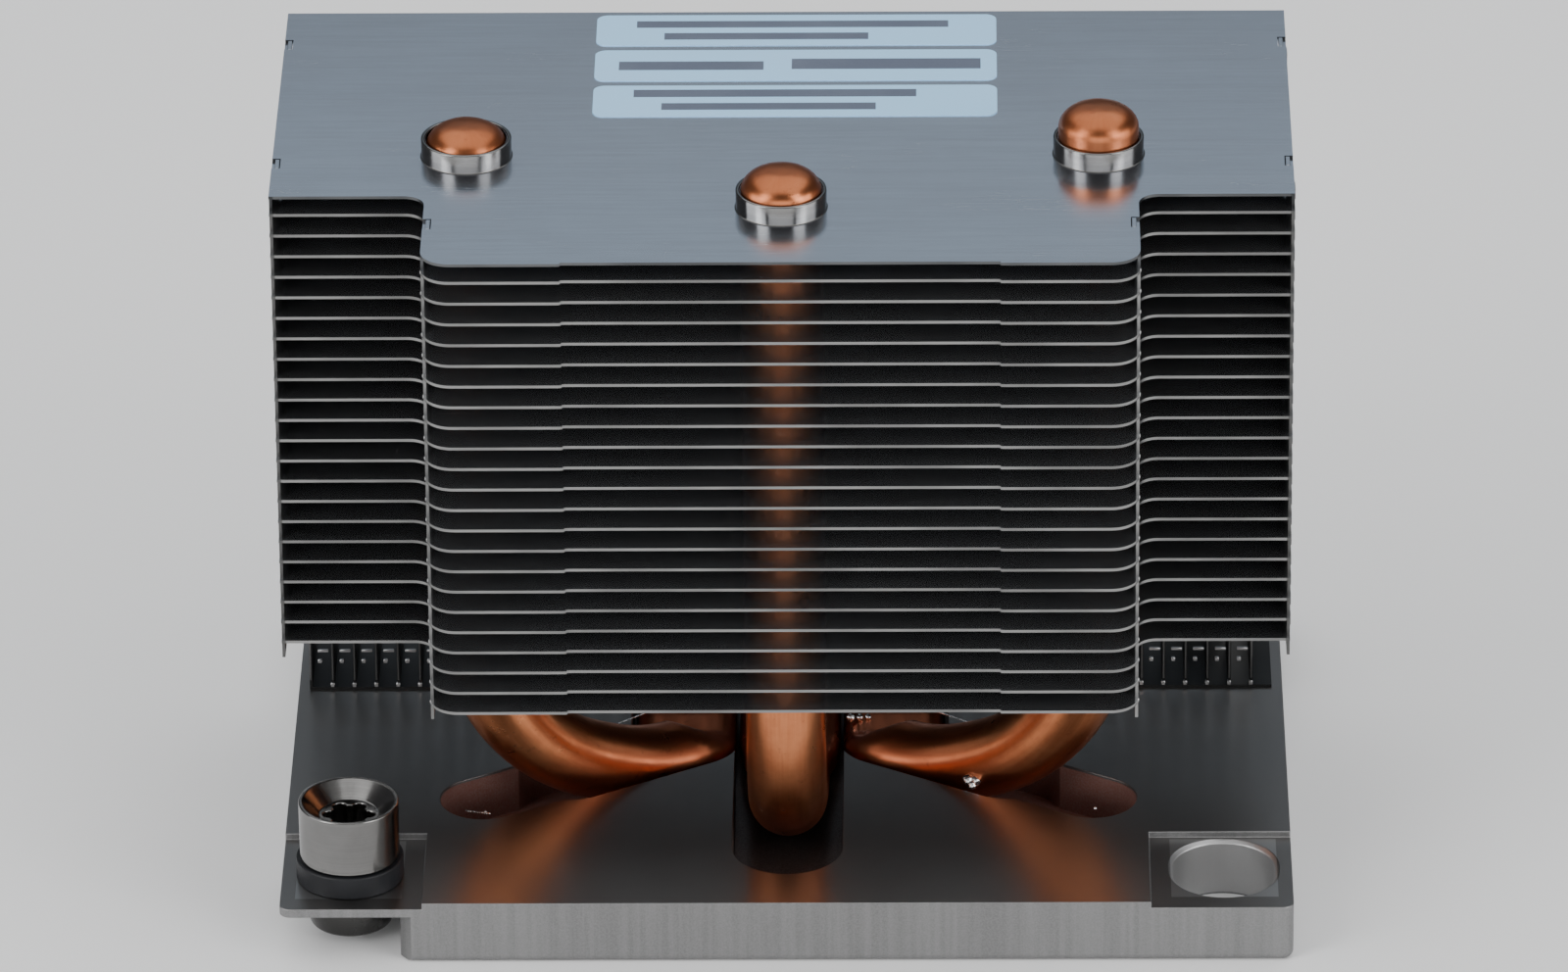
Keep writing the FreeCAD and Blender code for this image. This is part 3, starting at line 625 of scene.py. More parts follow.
class Finishes:
    """Every material of the part, made once."""

    def __init__(self) -> None:
        """Build all the materials."""
        groups = self.groups = Groups()
        self.fins = RolledSheet(
            "fin sheet", colour(0.80, 0.81, 0.83), colour(0.27, 0.27, 0.265), 0.09, 0.42,
            metallic=0.975, seam=0.05).make(groups)
        self.top = RolledSheet(
            "top fin sheet", colour(0.70, 0.74, 0.82), colour(0.13, 0.135, 0.14), 0.17, 0.34).make(groups)
        # The lower pack sits in the stack's shade: its sheet is painted near black, a painted shade.
        self.lower = RolledSheet(
            "lower pack sheet", grey(0.036), grey(0.045), 0.34, 0.40, Lay.ALONG_Z).make(groups)
        # Front edges of the lower pack sheets: a dark grey painted shade, paler than the sheet's painted
        # shade.
        self.wear_and_shade = RolledSheet(
            "worn sheet edge", grey(0.16), grey(0.16), 0.3, 0.38, Lay.ALONG_Z).make(groups)
        self.lock = RolledSheet("pressed lock", grey(0.60), grey(0.55), 0.3, 0.34, wall=0.5).make(groups)
        self.plate = MilledPlate(
            "milled base", colour(0.27, 0.262, 0.256), grey(0.265), 0.29, 0.46).make(groups)
        self.tube = BareTube(
            "bare copper tube", colour(0.66, 0.245, 0.110), colour(0.40, 0.11, 0.045), 0.26).make(groups)
        self.sleeve = MouldedPlastic("dark sleeve", colour(0.008, 0.0085, 0.010), 0.48).make(groups)
        self.paper = CoatedPaper(
            "label film", colour(0.40, 0.71, 1.0), colour(0.44, 0.66, 0.94), 0.42).make(groups)
        self.field = CoatedPaper(
            "label field", colour(0.10, 0.12, 0.17), colour(0.16, 0.19, 0.25), 0.45).make(groups)
        self.solder = SoftSolder("solder", grey(0.80)).make(groups)

    def plated(self, name: str, axis: Vector, rough: float, tone: float) -> Material:
        """Nickel plating with turning lines about one piece's axis."""
        shade = colour(tone, tone * 0.985, tone * 0.96)
        return Plated(name, shade, rough, (axis.x, axis.y, 0.0)).make(self.groups)


# ---- Mesh helpers ----


def settle(
    name: str, bm: BMesh, material: Material, body: str = "heatsink"
) -> bpy.types.Object:
    """Turn a finished bmesh into a piece that rides on a body.

    Args:
        name: Name of the piece.
        bm: The shape, in place.
        material: Its finish.
        body: The body it moves with.

    Returns:
        The new object.
    """
    mesh = bpy.data.meshes.new(name)
    bm.to_mesh(mesh)
    bm.free()
    mesh.shade_smooth()
    mesh.set_sharp_from_angle(angle=math.radians(38.0))
    mesh.materials.append(material)
    piece = bpy.data.objects.new(name, mesh)
    bpy.context.scene.collection.objects.link(piece)
    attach(piece, body)
    LOG.info("%s: %d faces", name, len(mesh.polygons))
    return piece


def eased_copy(
    node: str, name: str, ease: float, material: Material, body: str = "heatsink",
    angle: float = 32.0
) -> None:
    """Copy a CAD node, ease the copy's sharp edges, and let it stand for the node.

    Args:
        node: The CAD node.
        name: Name of the piece.
        ease: Width of the eased edge.
        material: Its finish.
        body: The body it moves with.
        angle: Edges sharper than this are eased, in degrees.
    """
    bm = bmesh.new()
    bm.from_mesh(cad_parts[node].data)
    bmesh.ops.remove_doubles(bm, verts=bm.verts, dist=0.0005 * MM)
    bmesh.ops.dissolve_limit(bm, angle_limit=math.radians(1.0), verts=bm.verts, edges=bm.edges)
    piece = settle(name, bm, material, body)
    bevel = piece.modifiers.new("eased edges", "BEVEL")
    bevel.width = ease
    bevel.segments = 2
    bevel.limit_method = "ANGLE"
    bevel.angle_limit = math.radians(angle)
    bevel.use_clamp_overlap = True
    level = piece.modifiers.new("level normals", "WEIGHTED_NORMAL")
    level.mode = "FACE_AREA"
    level.weight = 100
    level.keep_sharp = True
    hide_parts(node)


def dress(node: str, material: Material) -> None:
    """Give a CAD node its finish."""
    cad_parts[node].data.materials[0] = material


def spun(profile: Sequence[tuple[float, float]], axis: Vector, steps: int) -> BMesh:
    """A closed ring spun from a closed outline of radius and height.

    Args:
        profile: Points of the outline, each a radius and a height.
        axis: A point on the upright axis.
        steps: Steps of the full turn.

    Returns:
        The ring, with its faces outwards.
    """
    bm = bmesh.new()
    verts = [bm.verts.new((axis.x + reach, axis.y, height)) for reach, height in profile]
    edges = [bm.edges.new((verts[i], verts[(i + 1) % len(verts)])) for i in range(len(verts))]
    bmesh.ops.spin(
        bm, geom=verts + edges, cent=(axis.x, axis.y, 0.0), axis=(0.0, 0.0, 1.0), dvec=(0.0, 0.0, 0.0),
        angle=2.0 * math.pi, steps=steps, use_merge=True, use_duplicate=False)
    bmesh.ops.remove_doubles(bm, verts=bm.verts, dist=0.0005 * MM)
    bmesh.ops.recalc_face_normals(bm, faces=bm.faces)
    return bm


def add_block(bm: BMesh, low: Vector, high: Vector, ease: float) -> None:
    """Add a small block with eased edges to a shape.

    Args:
        bm: The shape that grows.
        low: Lowest corner.
        high: Highest corner.
        ease: Width of the eased edges.
    """
    size = high - low
    place = Matrix.Translation((low + high) / 2.0) @ Matrix.Diagonal((size.x, size.y, size.z, 1.0))
    made = bmesh.ops.create_cube(bm, size=1.0, matrix=place)
    edges = list({edge for vert in made["verts"] for edge in vert.link_edges})
    bmesh.ops.bevel(bm, geom=edges, offset=ease, segments=1, profile=0.5, affect="EDGES", material=-1)


# ---- Sub-assemblies ----


@dataclass
class Assembly:
    """A sub-assembly, which takes its looks from the part's materials."""

    finishes: Finishes


# ---- Heat pipes ----


@dataclass
class Station:
    """One cross-section of a tube."""

    centre: Vector
    lateral: Vector
    normal: Vector
    flat: float
    share: float
    travel: float = 0.0


@dataclass
class HeatPipe(Assembly):
    """A sealed tube: rounded end, upright run, bend, then flattened along its groove."""

    side: Side
    heading: float
    radius: float = 4.25 * MM
    thickness: float = 4.0 * MM
    bend: float = 24.5 * MM
    groove_floor: float = 1.6 * MM
    end_round: float = 3.6 * MM
    end_height: float = 2.5 * MM
    run_x: float = 11.4 * MM
    run_start: float = 3.8 * MM
    ring: int = 48
    dent: float = 0.07 * MM
    # Cross-sections of each stretch, and how far the tube is flattened at the bend's end.
    end_steps: int = 9
    end_turn: float = 88.0
    end_tip: float = 0.03
    upright_steps: int = 8
    bend_steps: int = 28
    bend_flat: float = 0.14
    bend_flat_steps: int = 8
    swerve_steps: int = 14
    # Places along the straight run, and the width there as a share: the pinched back end.
    pinch: tuple[tuple[float, float], ...] = (
        (0.35, 1.0), (0.7, 1.0), (0.92, 1.0), (0.96, 0.93), (0.985, 0.78), (1.0, 0.5))

    def node(self) -> str:
        """Name of the CAD node."""
        return "heat_pipe_" + self.side.value

    def foot(self) -> Vector:
        """Plan place of the upright run, from the CAD node's own box.

        Returns:
            The place, at height 0.
        """
        low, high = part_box(self.node())
        across = {
            Side.LEFT: low.x + self.radius,
            Side.CENTRE: (low.x + high.x) / 2.0,
            Side.RIGHT: high.x - self.radius,
        }[self.side]
        return Vector((across, low.y + self.radius, 0.0))

    def stations(self) -> list[Station]:
        """All cross-sections from the rounded end to the sealed back end.

        Returns:
            The stations in order, with the distance travelled in each.
        """
        foot = self.foot()
        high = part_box(self.node())[1]
        angle = math.radians(self.heading)
        ahead = Vector((math.cos(angle), math.sin(angle), 0.0))
        aside = Vector((-math.sin(angle), math.cos(angle), 0.0))
        up = Vector((0.0, 0.0, 1.0))
        level = self.groove_floor + self.radius
        upright = high.z - self.end_height
        found: list[Station] = []
        for step in range(self.end_steps + 1):
            turn = math.radians(self.end_turn - self.end_turn * step / self.end_steps)
            reach = self.radius - self.end_round + self.end_round * math.cos(turn)
            height = upright + self.end_height * math.sin(turn)
            share = reach / self.radius if step else self.end_tip
            found.append(Station(foot + up * height, aside, ahead, 0.0, share))
        bend_top = level + self.bend
        for step in range(1, self.upright_steps + 1):
            height = upright + (bend_top - upright) * step / self.upright_steps
            found.append(Station(foot + up * height, aside, ahead, 0.0, 1.0))
        for step in range(1, self.bend_steps + 1):
            turn = math.radians(90.0 * step / self.bend_steps)
            centre = foot + ahead * self.bend * (1.0 - math.cos(turn))
            centre += up * (level + self.bend * (1.0 - math.sin(turn)))
            normal = ahead * math.cos(turn) + up * math.sin(turn)
            flatter = (step - self.bend_steps + self.bend_flat_steps) / self.bend_flat_steps
            found.append(Station(centre, aside, normal, self.bend_flat * self._ease(flatter), 1.0))
        start = foot + ahead * self.bend
        sign = {Side.LEFT: -1.0, Side.CENTRE: 0.0, Side.RIGHT: 1.0}[self.side]
        finish = Vector((sign * self.run_x, self.run_start, 0.0))
        pull = (finish - start).length
        for step in range(1, self.swerve_steps + 1):
            share = step / self.swerve_steps
            spot, course = self._swerve(start, ahead, finish, Vector((0.0, 1.0, 0.0)), pull, share)
            lateral = Vector((-course.y, course.x, 0.0))
            flat = self.bend_flat + (1.0 - self.bend_flat) * self._ease(share * 1.15)
            found.append(Station(spot + up * level, lateral, up, flat, 1.0))
        lateral = Vector((-1.0, 0.0, 0.0))
        for place, share in self.pinch:
            spot = Vector((finish.x, finish.y + (high.y - finish.y) * place, level))
            found.append(Station(spot, lateral, up, 1.0, share))
        for before, after in zip(found, found[1:]):
            after.travel = before.travel + max((after.centre - before.centre).length, 0.2 * MM)
        return found

    @staticmethod
    def _ease(share: float) -> float:
        """Smooth rise from 0 to 1."""
        held = min(max(share, 0.0), 1.0)
        return held * held * (3.0 - 2.0 * held)

    @staticmethod
    def _swerve(
        start: Vector, leave: Vector, finish: Vector, arrive: Vector, pull: float, share: float
    ) -> tuple[Vector, Vector]:
        """A point and heading on a smooth curve between two runs.

        Args:
            start: First point.
            leave: Heading at the first point.
            finish: Last point.
            arrive: Heading at the last point.
            pull: Strength of both headings.
            share: Place along the curve, from 0 to 1.

        Returns:
            The point and the unit heading there.
        """
        two, three = share * share, share * share * share
        spot = start * (2 * three - 3 * two + 1) + leave * pull * (three - 2 * two + share)
        spot += finish * (3 * two - 2 * three) + arrive * pull * (three - two)
        course = start * (6 * two - 6 * share) + leave * pull * (3 * two - 4 * share + 1)
        course += finish * (6 * share - 6 * two) + arrive * pull * (3 * two - 2 * share)
        return spot, course.normalized()

    def _section(self, turn: float, flat: float) -> tuple[float, float]:
        """Point of the cross-section at a turn round it: a circle that flattens with its girth kept.

        Args:
            turn: Angle round the section, in radians.
            flat: 0 for round, 1 for flat.

        Returns:
            Offsets along the lateral and normal directions.
        """
        round_point = (self.radius * math.cos(turn), self.radius * math.sin(turn))
        cap = self.thickness / 2.0
        straight = math.pi * (self.radius - cap)
        quarter = math.pi * cap / 2.0
        half = 2.0 * quarter + straight
        travel = (turn % (2.0 * math.pi)) * self.radius
        side = 1.0 if travel < half else -1.0
        travel %= half
        if travel < quarter:
            point = (straight / 2.0 + cap * math.cos(travel / cap), cap * math.sin(travel / cap))
        elif travel < quarter + straight:
            point = (straight / 2.0 - (travel - quarter), cap)
        else:
            corner = (travel - straight) / cap
            point = (-straight / 2.0 + cap * math.cos(corner), cap * math.sin(corner))
        drop = cap - self.radius
        across = round_point[0] + (side * point[0] - round_point[0]) * flat
        along = round_point[1] + (side * point[1] + drop - round_point[1]) * flat
        return across, along

    def _place(self, station: Station, index: int) -> Vector:
        """Where one corner of a cross-section lies.

        Args:
            station: The cross-section.
            index: Number of the corner.

        Returns:
            The corner's place.
        """
        across, along = self._section(2.0 * math.pi * index / self.ring, station.flat)
        middle = (self.thickness / 2.0 - self.radius) * station.flat
        across *= station.share
        along = middle + (along - middle) * station.share
        spot = station.centre + station.lateral * across + station.normal * along
        if station.share < 1.0 and station.flat < 0.5:
            spot.z += self.dent * (noise.noise(spot * 700.0) - 0.6) * (1.0 - station.share)
        return spot

    def build(self) -> None:
        """Make the tube and let it stand for the CAD node."""
        course = self.stations()
        bm = bmesh.new()
        ring = bmesh.ops.create_circle(bm, cap_ends=False, segments=self.ring, radius=1.0)["verts"]
        order = {vert: index for index, vert in enumerate(ring)}
        row = dict.fromkeys(ring, 0)
        for vert in ring:
            vert.co = self._place(course[0], order[vert])
        edges = list(bm.edges)
        bmesh.ops.contextual_create(bm, geom=edges)
        for number, station in enumerate(course[1:], start=1):
            grown = bmesh.ops.extrude_edge_only(bm, edges=edges)["geom"]
            fresh = {item for item in grown if isinstance(item, bmesh.types.BMVert)}
            for vert in fresh:
                known = next(e.other_vert(vert) for e in vert.link_edges if e.other_vert(vert) not in fresh)
                order[vert] = order[known]
                row[vert] = number
                vert.co = self._place(station, order[vert])
            edges = [
                item for item in grown
                if isinstance(item, bmesh.types.BMEdge) and all(vert in fresh for vert in item.verts)]
        bmesh.ops.contextual_create(bm, geom=edges)
        self._wrap(bm, order, row, course)
        bmesh.ops.recalc_face_normals(bm, faces=bm.faces)
        piece = settle(self.node() + "_tube", bm, self.finishes.tube)
        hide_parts(self.node())

    def _wrap(self, bm: BMesh, order: dict, row: dict, course: Sequence[Station]) -> None:
        """Lay a UV map round and along the tube, in metres.

        Args:
            bm: The tube.
            order: Corner number of each vertex.
            row: Station number of each vertex.
            course: The stations.
        """
        layer = bm.loops.layers.uv.new(WRAP)
        step = 2.0 * math.pi * self.radius / self.ring
        for face in bm.faces:
            numbers = [order[loop.vert] for loop in face.loops]
            seam = len(numbers) == 4 and max(numbers) - min(numbers) > self.ring // 2
            for loop, number in zip(face.loops, numbers):
                round_it = number + self.ring if seam and number < self.ring // 2 else number
                loop[layer].uv = (round_it * step, course[row[loop.vert]].travel)


# ---- Base plate ----


@dataclass
class BasePlate(Assembly):
    """Machined plate with eased edges, the solder that has run out of its grooves, and solder runs on the
    groove rims that stand in for their glint, a painted highlight.
    """

    ease: float = 0.16 * MM
    beads: tuple[tuple[float, float, float, float], ...] = (
        # across, along, height, radius
        (19.45, -12.5, 7.75, 0.62),
        (20.25, -12.7, 7.70, 0.60),
        (19.85, -13.2, 7.45, 0.50),
        (6.60, 5.3, 5.9, 0.50),
        (7.60, 5.5, 5.8, 0.42),
        (8.50, 5.6, 5.8, 0.36),
        # The last two drops sit where the groove rims glint: solder drops that also serve as painted
        # highlights.
        (33.1, -18.0, 7.15, 0.20),
        (-32.6, -18.6, 7.15, 0.22),
    )
    rim_glints: tuple[tuple[float, float, float, float], ...] = (
        # start across, start along, end across, end along: thin runs of solder on the groove rims, painted
        # highlights where the rims glint
        (-22.6, -1.5, -16.0, 3.9),
        (16.4, 4.0, 21.2, 0.5),
        (-34.6, -18.3, -32.3, -18.85),
    )
    # The bright rim runs, in millimetres: the plate's top, the size of a drop and the step between drops.
    glint_height: float = 7.2
    glint_radius: float = 0.16
    glint_step: float = 0.22

    def build(self) -> None:
        """Make the plate and its solder."""
        eased_copy("base_plate", "base_plate_milled", self.ease, self.finishes.plate)
        self._solder()

    def _solder(self) -> None:
        """Small set drops of solder, and the bright runs on the groove rims."""
        bm = bmesh.new()
        for across, along, height, radius in self.beads:
            spot = Vector((across, along, height)) * MM
            made = bmesh.ops.create_icosphere(
                bm, subdivisions=3, radius=radius * MM, matrix=Matrix.Translation(spot))
            for vert in made["verts"]:
                out = (vert.co - spot).normalized()
                vert.co += out * noise.noise(vert.co * 1900.0) * 0.22 * radius * MM
        self._rim_glints(bm)
        settle("solder_drops", bm, self.finishes.solder)

    def _rim_glints(self, bm: BMesh) -> None:
        """Thin uneven runs of solder along the groove rims, painted highlights where the rims glint, each
        as a chain of flattened drops.

        Args:
            bm: The shape that grows.
        """
        for start_x, start_y, end_x, end_y in self.rim_glints:
            start = Vector((start_x, start_y, self.glint_height))
            end = Vector((end_x, end_y, self.glint_height))
            count = int((end - start).length / self.glint_step)
            yaw = Matrix.Rotation(math.atan2(end_y - start_y, end_x - start_x), 4, "Z")
            for step in range(count):
                spot = start.lerp(end, step / max(1, count - 1))
                size = self.glint_radius * (0.65 + 0.6 * abs(noise.noise(spot * 1.7)))
                shape = Matrix.Diagonal((size * 1.9 * MM, size * MM, size * 0.7 * MM, 1.0))
                place = Matrix.Translation(spot * MM) @ yaw @ shape
                bmesh.ops.create_icosphere(bm, subdivisions=1, radius=1.0, matrix=place)


# ---- Fin stack ----


@dataclass
class FinStack(Assembly):
    """The stacked fins, the top fin with its drawn collars, and the fold locks between the fins."""

    count: int = 22
    sheet: float = 0.32 * MM
    lock_length: float = 1.7 * MM
    lock_proud: float = 0.22 * MM
    lock_sunk: float = 0.1 * MM
    lock_drop: float = 1.1 * MM
    lock_rise: float = 0.2 * MM
    lock_front: float = 22.0 * MM
    lock_rear: float = 6.5 * MM
    collar_inner: float = 4.31 * MM
    collar_outer: float = 4.76 * MM
    collar_height: float = 2.0 * MM
    collar_lift: float = 0.02 * MM
    lip_round: float = 0.7
    root_flare: float = 0.12 * MM
    tongue: float = 74.6 * MM
    tongue_round: float = 3.0 * MM
    tongue_reach: float = 2.9 * MM
    stack_front: float = 13.4 * MM
    fold_inset: float = 0.8 * MM
    notch_length: float = 2.4 * MM
    notch_depth: float = 0.9 * MM
    bead: Vector = field(default_factory=lambda: Vector((0.24, 0.16, 0.24)) * MM)

    def build(self, pipes: Iterable[HeatPipe]) -> None:
        """Dress the fins and add what is drawn or folded on them.

        Args:
            pipes: The heat pipes, for the collars' places.
        """
        for number in range(1, self.count + 1):
            dress("fin_%02d" % number, self.finishes.fins)
        dress("top_fin", self.finishes.top)
        for pipe in pipes:
            self._collar(pipe)
        self._locks()
        self._corner_beads()
        self._notch_tabs()

    def _fin_boxes(self) -> Iterable[tuple[Vector, Vector]]:
        """The lowest and highest corner of each fin's box, from the bottom up."""
        return (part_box("fin_%02d" % number) for number in range(1, self.count + 1))

    def _collar(self, pipe: HeatPipe) -> None:
        """A bright drawn collar with a rounded lip and a small flared root.

        Args:
            pipe: The pipe that it grips.
        """
        foot = pipe.foot()
        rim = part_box("top_fin")[1].z
        root = rim - self.collar_height + self.collar_lift
        inner, outer, flared = self.collar_inner, self.collar_outer, self.root_flare
        middle, half = (inner + outer) / 2.0, (outer - inner) / 2.0
        lip = [
            (middle + half * math.cos(turn), rim + half * self.lip_round * math.sin(turn))
            for turn in map(math.radians, range(0, 181, 30))]
        flare = [
            (outer + flared * (1.0 - math.sin(turn)), root + flared * (1.0 - math.cos(turn)))
            for turn in map(math.radians, range(0, 91, 22))]
        outline = flare + lip + [(inner, root)]
        bm = spun(outline, foot, 72)
        material = self.finishes.plated("collar %s" % pipe.side.value, foot, 0.14, 0.19)
        settle("collar_%s" % pipe.side.value, bm, material)

    def _locks(self) -> None:
        """Small tabs that lock each folded wall into the next fin."""
        bm = bmesh.new()
        for low, high in self._fin_boxes():
            top = high.z - self.sheet
            for wall, sign in ((low.x, -1.0), (high.x, 1.0)):
                inner, outer = sorted((wall - sign * self.lock_sunk, wall + sign * self.lock_proud))
                for along in (low.y + self.lock_front, high.y - self.lock_rear):
                    add_block(
                        bm,
                        Vector((inner, along, top - self.lock_drop)),
                        Vector((outer, along + self.lock_length, top + self.lock_rise)),
                        0.05 * MM)
        settle("fold_locks", bm, self.finishes.fins)

    def _corner_beads(self) -> None:
        """Small beads where each tongue wall is folded down from its sheet."""
        bm = bmesh.new()
        across = (self.tongue - self.sheet) / 2.0
        for low, high in self._fin_boxes():
            for place in (-across, across):
                spot = Vector((place, low.y + self.tongue_round, high.z - self.sheet))
                add_block(bm, spot - self.bead, spot + self.bead, 0.09 * MM)
        settle("tongue_beads", bm, self.finishes.lock)

    def _notch_tabs(self) -> None:
        """Tabs of the fin below that are pressed up into the top fin's notches."""
        low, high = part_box("top_fin")
        plate = high.z - self.collar_height
        rim = low.y + self.tongue_reach
        setback = self.fold_inset + 3.0 * self.notch_length
        half = self.notch_length / 2.0 - 0.12 * MM
        bm = bmesh.new()
        for outer, along in (
            (high.x, rim + self.stack_front + setback),
            (high.x, high.y - setback),
            (self.tongue / 2.0, rim + self.stack_front / 2.0),
        ):
            for sign in (-1.0, 1.0):
                inner, edge = sorted(
                    (sign * (outer - self.notch_depth + 0.1 * MM), sign * (outer - self.sheet)))
                add_block(
                    bm,
                    Vector((inner, along - half, plate - self.sheet)),
                    Vector((edge, along + half, plate - 0.03 * MM)),
                    0.04 * MM)
        settle("notch_tabs", bm, self.finishes.top)


# ---- Lower pack ----


@dataclass
class LowerPack(Assembly):
    """Upright sheets between the base and the stack, painted near black as shade, with their front edges in
    a paler painted shade and pressed locks.
    """

    count: int = 44
    pitch: float = 2.4 * MM
    proud: float = 0.10 * MM
    sunk: float = 0.25 * MM
    foot: float = 1.2 * MM
    head: float = 0.5 * MM
    # Left, right, lowest and highest of each raised form beside a sheet's edge, in millimetres.
    locks: tuple[tuple[float, float, float, float], ...] = (
        (-1.45, -0.25, 4.65, 4.95), (-1.45, -1.00, 3.30, 3.75), (-0.10, 0.32, 0.35, 0.85))

    def build(self) -> None:
        """Dress the sheets and add their edges and locks."""
        dress("lower_fin_pack", self.finishes.lower)
        low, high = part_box("lower_fin_pack")
        edges = ((0.02 * MM, 0.26 * MM, self.foot, high.z - low.z - self.head),)
        locks = tuple(tuple(size * MM for size in form) for form in self.locks)
        made = (("edges", edges, self.finishes.wear_and_shade), ("locks", locks, self.finishes.lock))
        for name, forms, finish in made:
            bm = bmesh.new()
            for number in range(self.count):
                corner = Vector((low.x + number * self.pitch, low.y, low.z))
                for start, end, foot, crown in forms:
                    if corner.x + start > low.x:
                        add_block(
                            bm,
                            corner + Vector((start, -self.proud, foot)),
                            corner + Vector((end, self.sunk, crown)),
                            0.05 * MM)
            settle("lower_pack_" + name, bm, finish)


# ---- Captive nuts ----


@dataclass
class CaptiveNut(Assembly):
    """A nut with its sleeve and the cup that holds it under the tab."""

    corner: Corner
    ease: float = 0.14 * MM
    cup_angle: float = 12.0

    def build(self) -> None:
        """Make the nut, sleeve and cup with eased edges."""
        name = self.corner.value
        low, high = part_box("captive_nut_" + name)
        axis = (low + high) / 2.0
        bright = self.finishes.plated("nut plating %s" % name, axis, 0.16, 0.22)
        dull = self.finishes.plated("cup plating %s" % name, axis, 0.26, 0.07)
        body, ease = name + "_nut", self.ease
        eased_copy("captive_nut_" + name, "nut_%s_turned" % name, ease, bright, body)
        eased_copy(
            "nut_retainer_" + name, "cup_%s_turned" % name, ease * 2, dull, body,
            self.cup_angle)
        eased_copy(
            "nut_sleeve_" + name, "sleeve_%s_moulded" % name, ease, self.finishes.sleeve)


# ---- Labels ----


@dataclass
class LabelSet(Assembly):
    """Three label strips whose print is plain fields of colour."""

    # For each strip: left, right, front and back edges of its fields, as shares of the strip.
    fields: tuple[tuple[tuple[float, float, float, float], ...], ...] = (
        ((0.10, 0.80, 0.62, 0.86), (0.17, 0.70, 0.20, 0.42)),
        ((0.06, 0.42, 0.34, 0.62), (0.49, 0.96, 0.36, 0.70)),
        ((0.10, 0.88, 0.58, 0.80), (0.17, 0.68, 0.18, 0.40)),
    )
    proud: float = 0.012 * MM

    def build(self) -> None:
        """Dress the strips and lay their fields."""
        for number, spots in enumerate(self.fields, start=1):
            node = "label_strip_%d" % number
            dress(node, self.finishes.paper)
            low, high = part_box(node)
            bm = bmesh.new()
            for left, right, front, rear in spots:
                size = high - low
                add_block(
                    bm,
                    Vector((low.x + left * size.x, low.y + front * size.y, high.z - 0.02 * MM)),
                    Vector((low.x + right * size.x, low.y + rear * size.y, high.z + self.proud)),
                    0.008 * MM)
            settle("label_fields_%d" % number, bm, self.finishes.field)


# ---- Studio ----


@dataclass(frozen=True)
class Lamp:
    """One soft rectangular light, aimed at a height above the origin."""

    name: str
    spot: tuple[float, float, float]
    aim: float
    width: float
    height: float
    watts: float
    tint: tuple[float, float, float] = (1.0, 1.0, 1.0)

    def hang(self) -> None:
        """Add the light to the scene."""
        data = bpy.data.lights.new(self.name, "AREA")
        data.shape = "RECTANGLE"
        data.size, data.size_y = self.width, self.height
        data.energy = self.watts
        data.color = self.tint
        light = bpy.data.objects.new(self.name, data)
        bpy.context.scene.collection.objects.link(light)
        spot = Vector(self.spot)
        light.location = spot
        light.rotation_euler = (Vector((0.0, 0.0, self.aim)) - spot).to_track_quat("-Z", "Y").to_euler()


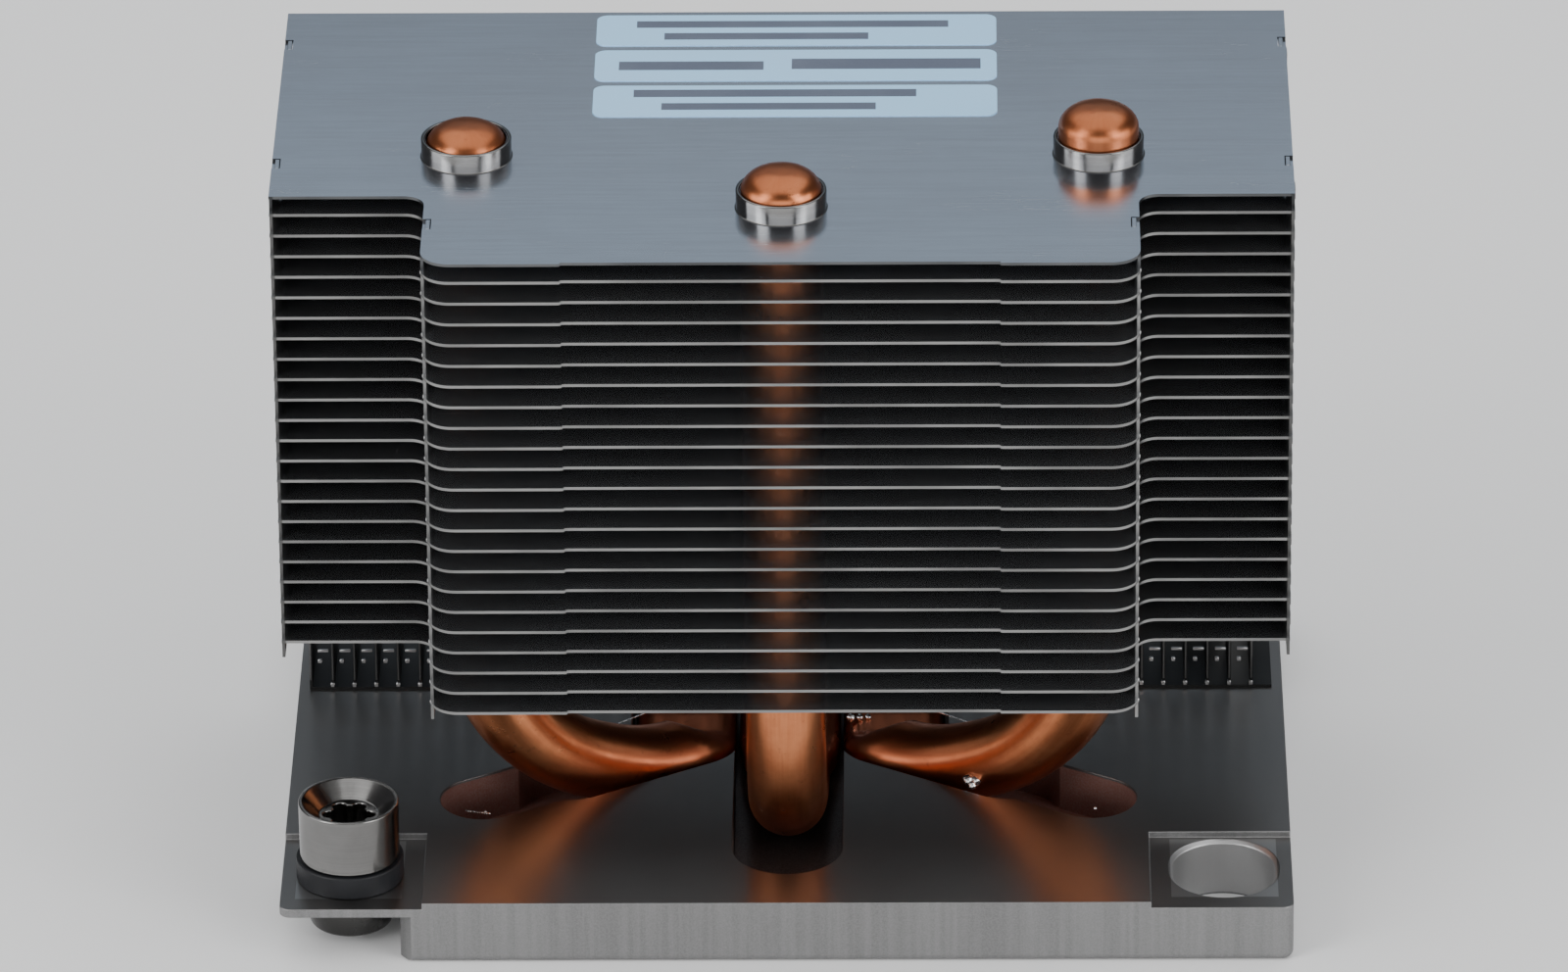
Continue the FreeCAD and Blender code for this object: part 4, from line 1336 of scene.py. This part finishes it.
@dataclass
class Studio(Assembly):
    """Floor, soft lights, sky and camera."""

    elevation: float = 26.99
    yaw: float = -0.81
    roll: float = -0.53
    distance: float = 1327.55 * MM
    aim: tuple[float, float, float] = (-0.25 * MM, -9.0 * MM, 41.68 * MM)
    lens: float = 284.27
    sky: Colour = (0.09, 0.09, 0.095, 1.0)
    lights: tuple[Lamp, ...] = (
        Lamp("left box", (-0.95, -0.80, 0.70), 0.04, 0.60, 0.90, 8.0),
        Lamp("right box", (0.95, -0.80, 0.66), 0.04, 0.60, 0.90, 7.0),
        Lamp("front panel", (0.0, -1.25, 0.24), 0.24, 1.4, 0.46, 5.0),
        Lamp("left wall", (-1.05, -0.40, 0.24), 0.24, 0.9, 0.46, 4.8),
        Lamp("right wall", (1.05, -0.40, 0.24), 0.24, 0.9, 0.46, 4.8),
        Lamp("overhead", (0.0, 0.15, 1.3), 0.04, 2.4, 1.9, 21.0),
        Lamp("back panel", (0.0, 0.5, 0.47), 0.04, 0.8, 0.34, 0.31, (0.70, 0.86, 1.0)),
    )

    def build(self) -> None:
        """Set up the whole studio."""
        self._camera()
        self._floor()
        self._sky()
        for lamp in self.lights:
            lamp.hang()

    def _camera(self) -> None:
        """Place the camera."""
        tilt, yaw, roll = (math.radians(v) for v in (self.elevation, self.yaw, self.roll))
        view = Vector((math.sin(yaw) * math.cos(tilt), math.cos(yaw) * math.cos(tilt), -math.sin(tilt)))
        right = Vector((math.cos(yaw), -math.sin(yaw), 0.0))
        up = right.cross(view)
        across = right * math.cos(roll) + up * math.sin(roll)
        upward = up * math.cos(roll) - right * math.sin(roll)
        data = bpy.data.cameras.new("camera")
        data.lens = self.lens
        data.sensor_width = 36.0
        data.clip_end = 20.0
        camera = bpy.data.objects.new("camera", data)
        bpy.context.scene.collection.objects.link(camera)
        axes = Matrix((across, upward, -view)).transposed().to_4x4()
        camera.matrix_world = Matrix.Translation(Vector(self.aim) - view * self.distance) @ axes
        bpy.context.scene.camera = camera

    def _floor(self) -> None:
        """Lay the pale floor."""
        bm = bmesh.new()
        bmesh.ops.create_grid(bm, x_segments=1, y_segments=1, size=4.0)
        mesh = bpy.data.meshes.new("floor")
        bm.to_mesh(mesh)
        bm.free()
        mesh.materials.append(StudioFloor("pale floor", grey(0.90)).make(self.finishes.groups))
        floor = bpy.data.objects.new("floor", mesh)
        bpy.context.scene.collection.objects.link(floor)

    def _sky(self) -> None:
        """Give the studio its even surrounding light."""
        world = bpy.data.worlds.new("studio")
        world.use_nodes = True
        shade = world.node_tree.nodes["Background"]
        shade.inputs["Color"].default_value = self.sky
        shade.inputs["Strength"].default_value = 1.0
        bpy.context.scene.world = world


# ---- The whole part ----


def main() -> None:
    """Build every sub-assembly in order and report each piece."""
    logging.basicConfig(level=logging.INFO, format="%(name)s: %(message)s")
    finishes = Finishes()
    Studio(finishes).build()
    pipes = (
        HeatPipe(finishes, Side.LEFT, 31.5),
        HeatPipe(finishes, Side.CENTRE, 90.0, bend=21.0 * MM),
        HeatPipe(finishes, Side.RIGHT, 148.5),
    )
    for pipe in pipes:
        pipe.build()
    BasePlate(finishes).build()
    FinStack(finishes).build(pipes)
    LowerPack(finishes).build()
    for corner in Corner:
        CaptiveNut(finishes, corner).build()
    LabelSet(finishes).build()


if __name__ == "__main__":
    main()
